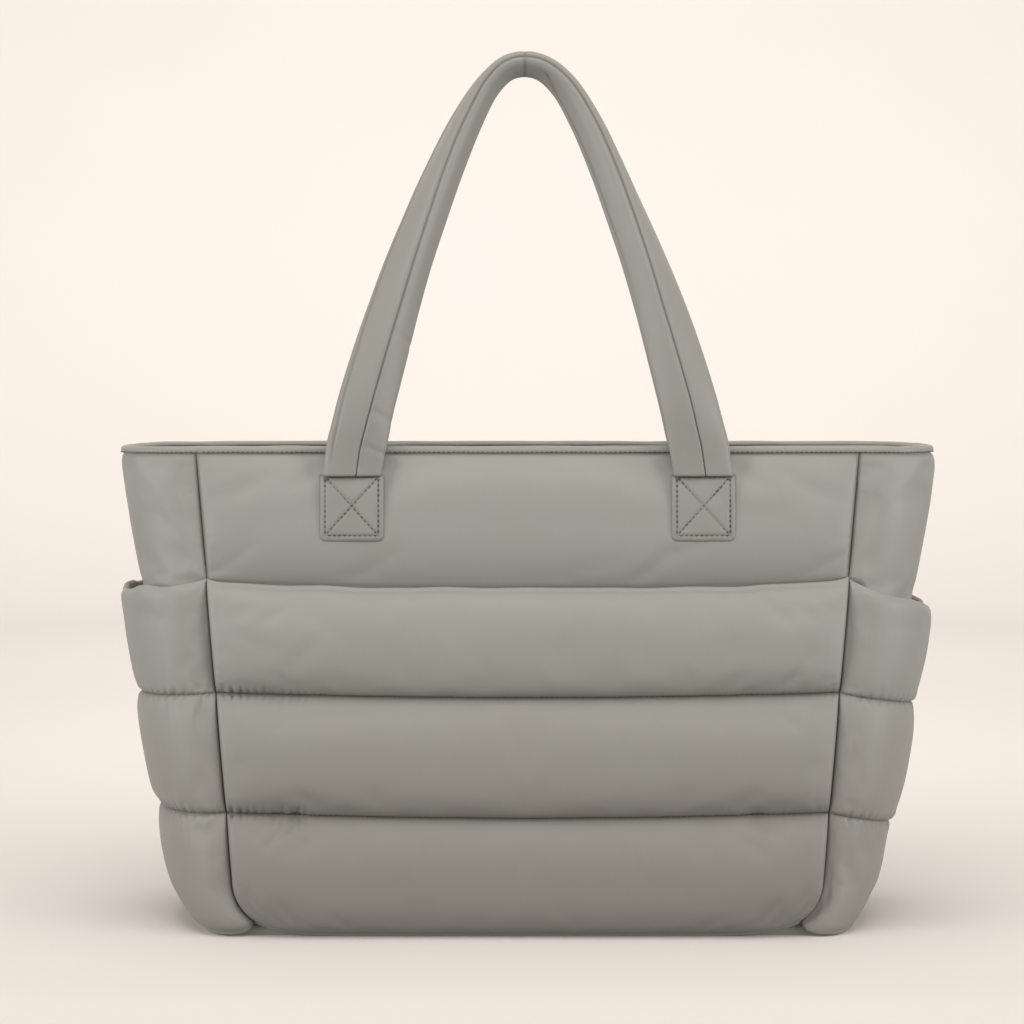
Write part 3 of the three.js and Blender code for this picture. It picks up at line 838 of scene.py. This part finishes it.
def smooth_line(points, count):
    """Evenly spaced points on one smooth curve through the given ones, with their directions.
    Each span is a cubic between two points, whose slopes come from the neighbours, weighed by the root of
    the distance to each."""
    points = np.asarray(points, dtype=float)
    knots = np.concatenate([[0], np.cumsum(np.sqrt(np.linalg.norm(np.diff(points, axis=0), axis=1)))])
    steps = np.diff(knots)[:, None]
    chords = np.diff(points, axis=0) / steps
    slopes = np.empty_like(points)
    slopes[1:-1] = (chords[:-1] * steps[1:] + chords[1:] * steps[:-1]) / (steps[1:] + steps[:-1])
    slopes[0] = chords[0]
    slopes[-1] = chords[-1]
    at = np.linspace(0, knots[-1], 4000)
    span = np.clip(np.searchsorted(knots, at, side="right") - 1, 0, len(steps) - 1)
    width = steps[span]
    t = ((at - knots[span])[:, None]) / width
    line = (
        (2 * t**3 - 3 * t**2 + 1) * points[span]
        + (t**3 - 2 * t**2 + t) * width * slopes[span]
        + (3 * t**2 - 2 * t**3) * points[span + 1]
        + (t**3 - t**2) * width * slopes[span + 1]
    )
    walked = np.concatenate([[0], np.cumsum(np.linalg.norm(np.diff(line, axis=0), axis=1))])
    even = np.linspace(0, walked[-1], count)
    placed = np.stack([np.interp(even, walked, line[:, k]) for k in range(3)], axis=1)
    return placed, unit(np.gradient(placed, axis=0))


def face_surface(x, z):
    """The distance of a face's outer skin from the bag's middle, at a place and a height."""
    return half_depth(z) + face_crown(x / seam_at(z), z)


def strap_path(face):
    """The middle line of a handle: up the face, over in a pointed loop that leans inwards, and down."""
    half_spread = face["spread"] / 2
    back = STRAP_THICKNESS * 0.4
    surface = float(face_surface(np.array(half_spread), np.array(PATCH_TOP)))
    end_y = surface + SEAM_GAP + back * END_THINNING
    rim_y = half_depth(BODY_HEIGHT) + 2 * SEAM_GAP + BINDING_FLANGE + back
    top_y = (HANDLE_PARTING + STRAP_WIDTH) / 2
    leg = [(half_spread, end_y, PATCH_TOP - 1)]
    for across, rise in LOOP_LINE:
        y = lerp(max(rim_y, end_y), top_y, float(ease(0, 1, rise)))
        leg.append((across * half_spread, y, BODY_HEIGHT + HANDLE_RISE * rise))
    leg = np.array(leg) * np.array([1, face["sign"], 1])
    top = np.array([[0, face["sign"] * top_y, BODY_HEIGHT + HANDLE_RISE]])
    line = np.concatenate([leg * np.array([-1, 1, 1]), top, leg[::-1]])
    rise = np.clip((line[:, 2] - BODY_HEIGHT) / HANDLE_RISE, 0, 1)
    line[:, 0] -= APEX_SHIFT * rise**12
    line[:, 2] += face["lift"] * rise**2
    return line


def strap_section(joint, lines, thickness):
    """A strap's flat section for each station: places across in millimetres, the heights of its front and
    back out of its middle, and the depth of its lines. The places are joint +- t ^ 1.6, crowded at the
    joint line. The front is padded and pressed in along each line: a place, a depth and a width."""
    half = STRAP_WIDTH / 2
    t = np.linspace(-1, 1, FRONT_PLACES)[None]
    middle = joint[:, None]
    across = middle + np.sign(t) * np.abs(t) ** 1.6 * (1 - np.sign(t) * middle)
    padded = pillow(across, 3.6, 0.45)
    grooves = [depth * bell((across - place) * half, width) for place, depth, width in lines]
    groove = np.maximum.reduce(grooves)
    front = 0.6 + padded * (0.5 * thickness[:, None]) - groove * padded
    back = -0.32 * thickness[:, None] * pillow(across, 6, 0.6)
    return across * half, front, back, groove


def strap_directions(face, path, along, rise):
    """For each station of a strap the directions across it and out of its front, which faces away from the
    bag and turns by its leg's angle towards the outside of the loop."""
    outwards = np.array([0, face["sign"], 0.0])
    front = unit(outwards - (along @ outwards)[:, None] * along)
    crown = face["sign"] * unit(np.cross(along, front))
    left_turn = np.interp(rise, TURN_RISES, LEFT_TURNS)
    right_turn = np.interp(rise, TURN_RISES, RIGHT_TURNS)
    turn = np.radians(lerp(left_turn, right_turn, ease(-8, 8, path[:, 0])))[:, None]
    out = front * np.cos(turn) + crown * np.sin(turn)
    return unit(np.cross(along, out)), out


def joint_lines(joint, x):
    """The lines pressed into a strap's front: the joint line, and a second one along part of each leg."""
    share = np.linspace(0, 1, STRAP_STATIONS)
    left_depth = ease(0, 0.03, share) * (1 - ease(0.3, 0.42, share))
    right_depth = ease(9, 14, x) * (1 - ease(0.7, 0.84, share))
    right_place = lerp(FOLD_START, EDGE_JOINT, ease(10, 25, x))
    return (
        (joint[:, None], 1.1, 0.45),
        (-EDGE_JOINT, 0.9 * left_depth[:, None], 0.7),
        (right_place[:, None], 1.2 * right_depth[:, None], 0.7),
    )


def strap_dips(path, places):
    """How far a strap's front is drawn in, by the pinch at the loop's top and by its soft creases."""
    x, z = path[:, :1], path[:, 2:]
    pinch = bell(x + APEX_SHIFT, 1.5) - 0.5 * bell(x + APEX_SHIFT, 6)
    dips = 0.5 * pinch * pillow(places / STRAP_WIDTH * 2, 4, 1)
    for height, depth in STRAP_CREASES:
        dips = dips + depth * bell(z - height + 0.25 * places, 1.6) * ease(1, 4, places) * (x < 0)
    return dips


def folded_section(places, tops, backs, bend):
    """A flat section after it is bent: the walk across it along the angles bend, with its heights along the
    walk's normals, set about the walk's middle. Given as places across and out."""
    steps = np.gradient(places, axis=1)[..., None]
    walk = np.cumsum(np.stack([np.cos(bend), -np.sin(bend)], axis=-1) * steps, axis=1)
    normal = np.stack([np.sin(bend), np.cos(bend)], axis=-1)
    middle = (walk.max(axis=1, keepdims=True) + walk.min(axis=1, keepdims=True)) / 2
    front = walk + tops[..., None] * normal
    back = walk + backs[..., None] * normal
    return np.concatenate([front, back[:, ::-1]], axis=1) - middle


def handle(face):
    """A padded strap that folds back along its joint line on its way up and turns towards the loop's crown.
    The fold at a place across is fold * tanh(place / FOLD_SOFTNESS), counted from the joint line."""
    path, along = smooth_line(strap_path(face), STRAP_STATIONS)
    x, z = path[:, 0], path[:, 2]
    rise = np.clip((z - BODY_HEIGHT) / HANDLE_RISE, 0, 1)
    sideways, out = strap_directions(face, path, along, rise)
    thinning = np.interp(rise, THINNING_RISES, THINNING_SHARES)
    climb = ease(PATCH_TOP, BODY_HEIGHT + STRAP_WIDTH, z)
    thickness = STRAP_THICKNESS * lerp(END_THINNING, thinning, climb)
    joint = lerp(0.16, -0.04, np.linspace(0, 1, STRAP_STATIONS))
    places, tops, backs, groove = strap_section(joint, joint_lines(joint, x), thickness)
    fold = np.radians(np.interp(rise, FOLD_RISES, FOLD_ANGLES)) * ease(PATCH_TOP, BODY_HEIGHT + 18, z)
    bend = fold[:, None] * np.tanh((places - joint[:, None] * STRAP_WIDTH / 2) / FOLD_SOFTNESS)
    section = folded_section(places, tops - strap_dips(path, places), backs, bend)
    offsets = section[..., :1] * sideways[:, None] + section[..., 1:] * out[:, None]
    offsets[..., 2] *= ease(PATCH_TOP, PATCH_TOP + 14, z[:, None])
    # painted shade in the strap's pressed lines and in the crease at the loop's top
    shade = np.maximum(np.clip(groove / 1.2, 0, 1) ** 2, 0.7 * bell(x[:, None] + APEX_SHIFT, 1))
    shades = np.concatenate([shade, np.zeros_like(groove)], axis=1)
    strap = sweep(f"{face['name']}_strap", path[:, None] + offsets, tones=shades)
    return finish_piece(strap, f"{face['name']}_handle", TRIM)


def anchor_patch(face, side):
    """A square patch over a strap's end: it lies on the face, with rounded edges and lower corners."""
    half = STRAP_WIDTH / 2 + PATCH_MARGIN
    u = (2 * spread(56, 0.4) - 1)[:, None]
    v = spread(56, 0.4)[None, :]
    low = np.clip(1 - v / (PATCH_CORNER / PATCH_HEIGHT), 0, 1)
    inset = PATCH_CORNER * (1 - np.sqrt(1 - low**2))
    x = side["sign"] * face["spread"] / 2 + u * (half - inset)
    z = PATCH_TOP - SEAM_GAP - PATCH_HEIGHT * (1 - v) + 0 * u
    lift = PATCH_THICKNESS * pillow(u, 10, 0.5) * pillow(2 * v - 1, 12, 0.5)
    uneven = 0.5 * ripple(x, z, spacing=9, seed=95) * pillow(u, 4, 1) * pillow(2 * v - 1, 4, 1)
    lift = np.maximum(lift, 0.7) - uneven
    press = stitch_press(face, side, x, z)
    surface = face_surface(x, z)
    outer = np.stack([x, face["sign"] * (surface + SEAM_GAP + lift - press), z], axis=-1)
    inner = np.stack([x, face["sign"] * (surface + SEAM_GAP * 0.5), z], axis=-1)
    # painted shade along the stitched lines and round the patch's edge
    edge = 1 - pillow(u, 24, 1) * pillow(2 * v - 1, 24, 1)
    shade = np.maximum(np.clip(press * 0.8, 0, 1), 0.9 * edge) + 0 * x
    name = f"{face['name']}_{side['name']}_anchor"
    patch = padded_slab(name, outer, inner, 0.6, shade)
    return finish_piece(patch, f"{face['name']}_{side['name']}_patch", TRIM)


def box_lines(face, side):
    """The sides and the diagonals of a patch's stitched box, as pairs of points in x and z."""
    middle = side["sign"] * face["spread"] / 2
    half = STRAP_WIDTH / 2 - 1.8
    low = PATCH_TOP - PATCH_HEIGHT + 3.4
    high = PATCH_TOP - 1.4
    a, b = (middle - half, low), (middle + half, low)
    c, d = (middle + half, high), (middle - half, high)
    return (a, b), (b, c), (c, d), (d, a), (a, c), (b, d)


def stitch_press(face, side, x, z):
    """How far the stitched box and its two diagonals press into the patch."""
    dips = [-crease(x, z, start, end, 0.8, 1) for start, end in box_lines(face, side)]
    return 0.55 * np.maximum.reduce(dips)


# Stitches


def stitch_mesh(name, starts, ends, normals, radius):
    """Short threads between pairs of points: each is a bowed rod of six sides whose middle stands out.
    Its rings have radii 0.45, 1, 1, 0.45 and lie at 0, 0.3, 0.7, 1 of its length."""
    turns = np.arange(6) / 6 * 2 * math.pi
    shares = np.array([0, 0.3, 0.7, 1])
    sizes = np.array([0.45, 1, 1, 0.45]) * radius
    lifts = np.array([-0.6, 0.5, 0.5, -0.6]) * radius
    along = unit(ends - starts)
    sideways = unit(np.cross(along, normals))
    up = np.cross(sideways, along)
    centres = starts[:, None] + (ends - starts)[:, None] * shares[:, None] + up[:, None] * lifts[:, None]
    ring = (
        np.cos(turns)[None, None, :, None] * sideways[:, None, None]
        + np.sin(turns)[None, None, :, None] * up[:, None, None]
    )
    points = centres[:, :, None] + ring * sizes[None, :, None, None]
    count = len(starts)
    caps = np.array([[0, 1, 2, 3], [3, 4, 5, 0], [21, 20, 19, 18], [18, 23, 22, 21]])
    one = np.concatenate([grid_faces(4, 6, 6), caps])
    faces = (one[None] + np.arange(count)[:, None, None] * 24).reshape(-1, 4)
    points = points.reshape(-1, 3)
    a, b, c, d = (points[faces[: len(one), k]] for k in range(4))
    middle = points[:24].mean(axis=0)
    a, b, c, d = (corner - middle for corner in (a, b, c, d))
    volume = np.einsum("ij,ij->i", a, np.cross(b, c) + np.cross(c, d)).sum()
    if volume < 0:
        faces = faces[:, ::-1]
    return mesh_object(name, points, faces)


def stitch_ends(line, pitch, length):
    """Starts and ends of even stitches along a line of points."""
    walked = np.concatenate([[0], np.cumsum(np.linalg.norm(np.diff(line, axis=0), axis=1))])
    starts = np.arange(pitch / 2, walked[-1] - length, pitch)

    def at(distance):
        return np.stack([np.interp(distance, walked, line[:, k]) for k in range(3)], axis=1)

    return at(starts), at(starts + length)


def stitch_rows(name, rows, pitch, length, radius):
    """Stitches along each of the rows, which give a line of points and the function of its normals."""
    parts = []
    for line, normals_at in rows:
        starts, ends = stitch_ends(line, pitch, length)
        parts.append((starts, ends, normals_at(starts)))
    mesh = stitch_mesh(name, *(np.concatenate(part) for part in zip(*parts)), radius)
    return finish_piece(mesh, None, THREAD)


def facing(face):
    """A function of normals that all face outwards from a face."""
    return lambda points: np.broadcast_to([0, face["sign"], 0.0], points.shape)


def away_from(x, depth_share):
    """A function of level normals that face away from the upright line at x, with their depth weighed."""
    return lambda points: unit((points - np.array([x, 0, 0])) * np.array([1, depth_share, 0]))


def patch_stitches():
    """The stitched boxes and diagonals of the four patches."""
    rows = []
    share = np.linspace(0, 1, 60)
    for face in FACES:
        for side in SIDES:
            for start, end in box_lines(face, side):
                x = lerp(start[0], end[0], share)
                z = lerp(start[1], end[1], share)
                y = face["sign"] * (face_surface(x, z) + SEAM_GAP + PATCH_THICKNESS - 0.75)
                rows.append((np.stack([x, y, z], axis=1), facing(face)))
    return stitch_rows("patch_stitches", rows, pitch=2.9, length=2, radius=0.36)


def binding_stitches():
    """A row of stitches along the binding's lower edge, all the way round the rim."""
    line = tub_outline(PANEL_TOP - BINDING_DEPTH + 0.5, SEAM_GAP + BINDING_FLANGE + 0.1, columns=170)
    rows = [(np.concatenate([line, line[:1]]), away_from(0, depth_share=4))]
    return stitch_rows("binding_stitches", rows, pitch=2.8, length=2, radius=0.28)


def quilting_stitches():
    """Stitches in the valleys of the quilting lines, on the faces and round the side pockets."""
    rows = []
    u = np.linspace(-0.985, 0.985, 400)
    out = SEAM_THICKNESS + 0.1
    for channel in (1, 2):
        for face in FACES:
            z = quilt_lines(u, FACE_SAGS)[channel]
            rows.append((face_point(face, u, z, SEAM_GAP + out, corner_inset(z)), facing(face)))
        for side in SIDES:
            z = quilt_lines(u, side["sags"])[channel]
            line = gusset_point(side, u, z, SEAM_GAP + standoff(side, u, z) + out)
            rows.append((line, away_from(side["sign"] * 150, depth_share=1)))
    return stitch_rows("quilting_stitches", rows, pitch=3, length=2.1, radius=0.28)


# Materials


def linear(colour):
    """An sRGB hex colour as linear red, green, blue and 1."""
    values = np.array([int(colour[k : k + 2], 16) for k in (1, 3, 5)]) / 255
    curved = np.where(values <= 0.04045, values / 12.92, ((values + 0.055) / 1.055) ** 2.4)
    return (*curved.tolist(), 1)


def new_material(name):
    """An empty node material and its node tree."""
    material = bpy.data.materials.new(name)
    material.use_nodes = True
    material.node_tree.nodes.clear()
    return material, material.node_tree


def add(tree, kind, inputs=None, **settings):
    """Adds a node, sets its properties and fills its inputs: a socket is linked, all else is a value."""
    node = tree.nodes.new(kind)
    for key, value in settings.items():
        setattr(node, key, value)
    for key, value in (inputs or {}).items():
        if isinstance(value, bpy.types.NodeSocket):
            tree.links.new(value, node.inputs[key])
        else:
            node.inputs[key].default_value = value
    return node


def mix(tree, share, first, second):
    """A colour that runs from the first to the second as share runs from 0 to 1."""
    return add(tree, "ShaderNodeMixRGB", {"Fac": share, "Color1": first, "Color2": second}).outputs["Color"]


def noise(tree, place, size, detail):
    """A noise whose patches are about size metres wide."""
    inputs = {"Vector": place, "Scale": 1 / size, "Detail": detail}
    return add(tree, "ShaderNodeTexNoise", inputs).outputs["Fac"]


def product(tree, first, second):
    """The product of two values, held between 0 and 1."""
    values = {0: first, 1: second}
    return add(tree, "ShaderNodeMath", values, operation="MULTIPLY", use_clamp=True).outputs["Value"]


def ranged(tree, value, ends, **settings):
    """A value taken from one range to another, whose ends are given by their sockets' names."""
    return add(tree, "ShaderNodeMapRange", {"Value": value, **ends}, **settings).outputs["Result"]


def bumped(tree, height, strength, distance, **inputs):
    """A normal tilted as a height of so many metres tilts it."""
    values = {"Height": height, "Strength": strength, "Distance": distance, **inputs}
    return add(tree, "ShaderNodeBump", values).outputs["Normal"]


def surfaced(material, inputs):
    """The material with one principled surface of these inputs."""
    shader = add(material.node_tree, "ShaderNodeBsdfPrincipled", inputs)
    add(material.node_tree, "ShaderNodeOutputMaterial", {"Surface": shader.outputs["BSDF"]})
    return material


WAVE_PERIOD = 2 * math.pi / 20  # the length of one band of a wave texture of scale 1
# the backdrop's painted light: palest on the floor round the bag, darker towards the wall
FLOOR_TONE = "#f4ede6"
WALL_TONE = "#e4ddd7"
# The cloth grows warmer and darker towards the bottom: below this height in metres, towards this tone, by
# up to this share
LOW_DARK_HEIGHT = 0.24
LOW_DARK_TONE = "#887f74"
LOW_DARK_SHARE = 0.38
# the dark tone that paints shade, with some dirt, into seams, grooves and hollows
SHADE_AND_DIRT_TONE = "#3f3a34"


def thread_bands(tree, uv, thread, direction):
    """Even bands across one direction of the cloth, one for each thread."""
    inputs = {"Vector": uv, "Scale": WAVE_PERIOD / thread, "Distortion": 0.4, "Detail": 1}
    bands = add(tree, "ShaderNodeTexWave", inputs, wave_type="BANDS", bands_direction=direction)
    return bands.outputs["Fac"]


def cloth_material(name, colour, shade, thread, grain, roughness, sheen):
    """Woven nylon: two crossed waves of one thread each for the weave, soft patches of tone over 60 mm,
    a warmer and darker tone low down, a dark tone where the point attribute of painted shade and dirt is
    high, and small wrinkles of about grain metres."""
    material, tree = new_material(name)
    uv = add(tree, "ShaderNodeUVMap", uv_map="cloth").outputs["UV"]
    place = add(tree, "ShaderNodeTexCoord").outputs["Object"]
    seam = add(tree, "ShaderNodeAttribute", attribute_name="dirt_and_painted_shade").outputs["Fac"]
    weave = product(tree, thread_bands(tree, uv, thread, "X"), thread_bands(tree, uv, thread, "Y"))
    fine = noise(tree, place, grain, 4)
    cloth = mix(tree, noise(tree, place, 0.06, 3), linear(colour), linear(shade))
    cloth = mix(tree, weave, cloth, linear(colour))
    height = add(tree, "ShaderNodeSeparateXYZ", {"Vector": place}).outputs["Z"]
    ends = {"From Min": 0, "From Max": LOW_DARK_HEIGHT, "To Min": LOW_DARK_SHARE, "To Max": 0}
    low_dark = ranged(tree, height, ends, interpolation_type="SMOOTHSTEP")
    cloth = mix(tree, low_dark, cloth, linear(LOW_DARK_TONE))
    # painted shade and dirt: darker where the point attribute is high
    cloth = mix(tree, product(tree, seam, 0.6), cloth, linear(SHADE_AND_DIRT_TONE))
    weave_bump = bumped(tree, weave, strength=0.12, distance=0.0001)
    inputs = {
        "Base Color": cloth,
        "Roughness": ranged(tree, fine, {"To Min": roughness - 0.05, "To Max": roughness + 0.07}),
        "Normal": bumped(tree, fine, strength=0.25, distance=0.0006, Normal=weave_bump),
        "IOR": 1.53,
        "Sheen Weight": sheen,
        "Sheen Roughness": 0.45,
    }
    return surfaced(material, inputs)


def coated_nylon_taffeta():
    """Plain-woven nylon with a soft polyurethane coating: a smooth, matt skin with a low, wide gleam.
    Its threads lie about 0.3 mm apart."""
    return cloth_material("coated_nylon_taffeta", "#9f9e97", "#9a978f", 0.0003, 0.009, 0.55, 0.12)


def nylon_strap_cloth():
    """The same cloth in a slightly heavier weave of 0.4 mm threads, painted a little darker as shade for
    the straps.
    """
    return cloth_material("nylon_strap_cloth", "#98968f", "#939088", 0.0004, 0.007, 0.52, 0.15)


def polyester_thread():
    """Twisted sewing thread, dark in its own colour and with painted shade of the stitch holes, with a
    slight gleam.
    """
    material, tree = new_material("polyester_thread")
    place = add(tree, "ShaderNodeTexCoord").outputs["Object"]
    twist = noise(tree, place, 0.0006, 2)
    inputs = {
        # a dark thread: its own colour with painted shade of the stitch holes
        "Base Color": mix(tree, twist, linear("#3f3b36"), linear("#5d5851")),
        "Roughness": 0.5,
        "Normal": bumped(tree, twist, strength=0.4, distance=0.0002),
        "IOR": 1.5,
    }
    return surfaced(material, inputs)


def background_paper():
    """Matt cream background paper with the faint mottle of its pulp, and painted light: palest round the
    bag and a little darker towards the wall, by the distance from the middle of the floor."""
    material, tree = new_material("background_paper")
    place = add(tree, "ShaderNodeTexCoord").outputs["Object"]
    away = add(tree, "ShaderNodeVectorMath", {0: place}, operation="LENGTH").outputs["Value"]
    share = ranged(tree, away, {"From Min": 0.5, "From Max": 1.3}, interpolation_type="SMOOTHSTEP")
    # painted light: the paper palest round the bag, darker towards the wall
    painted_light = mix(tree, share, linear(FLOOR_TONE), linear(WALL_TONE))
    faint = product(tree, noise(tree, place, 1 / 6, 3), 0.04)
    base = mix(tree, faint, painted_light, linear("#b9aea2"))
    return surfaced(material, {"Base Color": base, "Roughness": 0.9, "IOR": 1.45})


def finish_piece(piece, node, material):
    """Gives a piece its material and its body, and hides the node it stands for."""
    piece.data.materials.append(material)
    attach(piece, "root")
    if node:
        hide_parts(node)
    return piece


# Studio

FOCAL_PIXELS = 2703
FRAME_PIXELS = 1024
SENSOR = 36
CAMERA_PLACE = (-8.9, -1600, 321.6)
CAMERA_PITCH = 3


def studio_camera():
    """A camera at the photograph's place, pitched slightly down."""
    data = bpy.data.cameras.new("studio_camera")
    data.sensor_width = SENSOR
    data.lens = FOCAL_PIXELS * SENSOR / FRAME_PIXELS
    camera = bpy.data.objects.new("studio_camera", data)
    camera.location = [value * MM for value in CAMERA_PLACE]
    camera.rotation_euler = (math.radians(90 - CAMERA_PITCH), 0, 0)
    bpy.context.scene.collection.objects.link(camera)
    bpy.context.scene.camera = camera


def backdrop():
    """A paper bowl: a flat floor that curves up into a round wall, open at the top.
    The profile is a straight line, a quarter circle and a straight line, turned about the upright axis."""
    flat, bend, wall = 1900, 900, 3200
    rings, spokes = 59, 96
    turns = np.linspace(0, math.pi / 2, 40)
    floor = np.linspace(0.5, flat, rings + 1)[:-1]
    radii = np.concatenate([floor, flat + bend * np.sin(turns), [flat + bend]])
    heights = np.concatenate([np.zeros(rings), bend * (1 - np.cos(turns)), [wall]])
    angles = np.linspace(0, 2 * math.pi, spokes, endpoint=False)
    level = np.broadcast_to(heights[:, None], (len(radii), spokes))
    points = np.stack([radii[:, None] * np.cos(angles), radii[:, None] * np.sin(angles), level], axis=-1)
    bowl = mesh_object("paper_backdrop", points.reshape(-1, 3), grid_faces(len(radii), spokes, spokes))
    bowl.data.materials.append(background_paper())
    bowl.visible_diffuse = False


def soft_light(name, place, target, size, power, colour):
    """A square area light at a place in metres that faces a target."""
    data = bpy.data.lights.new(name, "AREA")
    data.size = size
    data.energy = power
    data.color = linear(colour)[:3]
    light = bpy.data.objects.new(name, data)
    light.location = place
    aim = np.subtract(target, place)
    tilt = math.atan2(math.hypot(aim[0], aim[1]), -aim[2])
    light.rotation_euler = (tilt, 0, math.atan2(-aim[0], aim[1]))
    bpy.context.scene.collection.objects.link(light)


# Each light's name, place and target in metres, size, power in watts and colour
LIGHTS = (
    ("key", (0, -0.75, 0.9), (0, 0, 0.1), 0.9, 3.3, "#fffdfa"),
    ("overhead", (0, -0.3, 1.6), (0, -0.29, 0), 1.4, 8.8, "#fffaf4"),
    ("left_fill", (-1.7, -0.9, 0.4), (0, 0, 0.15), 0.9, 18, "#ffffff"),
    ("right_fill", (1.7, -0.9, 0.4), (0, 0, 0.15), 0.9, 18, "#ffffff"),
    ("backdrop_light", (0, 1.2, 2.3), (0, 3.2, 0.9), 2.2, 66, "#fffcf8"),
)
SKY_TONE = "#fffdfa"
SKY_STRENGTH = 0.25


def studio_light():
    """A soft key light close in front and above, soft lights overhead, at both sides and on the backdrop,
    and a dim sky."""
    for light in LIGHTS:
        soft_light(*light)
    world = bpy.data.worlds.new("sky")
    world.use_nodes = True
    sky = world.node_tree.nodes["Background"]
    sky.inputs["Color"].default_value = linear(SKY_TONE)
    sky.inputs["Strength"].default_value = SKY_STRENGTH
    bpy.context.scene.world = world


SHELL = coated_nylon_taffeta()
TRIM = nylon_strap_cloth()
THREAD = polyester_thread()

studio_camera()
backdrop()
studio_light()
bpy.context.scene.view_settings.view_transform = "Standard"

base_board()
rim_tape()
for side in SIDES:
    gusset_panel(side)
    side_pocket(side, across_count=200, per_channel=40)
for face, across_count, per_channel in ((FACES[0], 300, 46), (FACES[1], 190, 30)):
    face_panel(face)
    face_pocket(face, across_count, per_channel)
    handle(face)
    for side in SIDES:
        anchor_patch(face, side)
patch_stitches()
binding_stitches()
quilting_stitches()
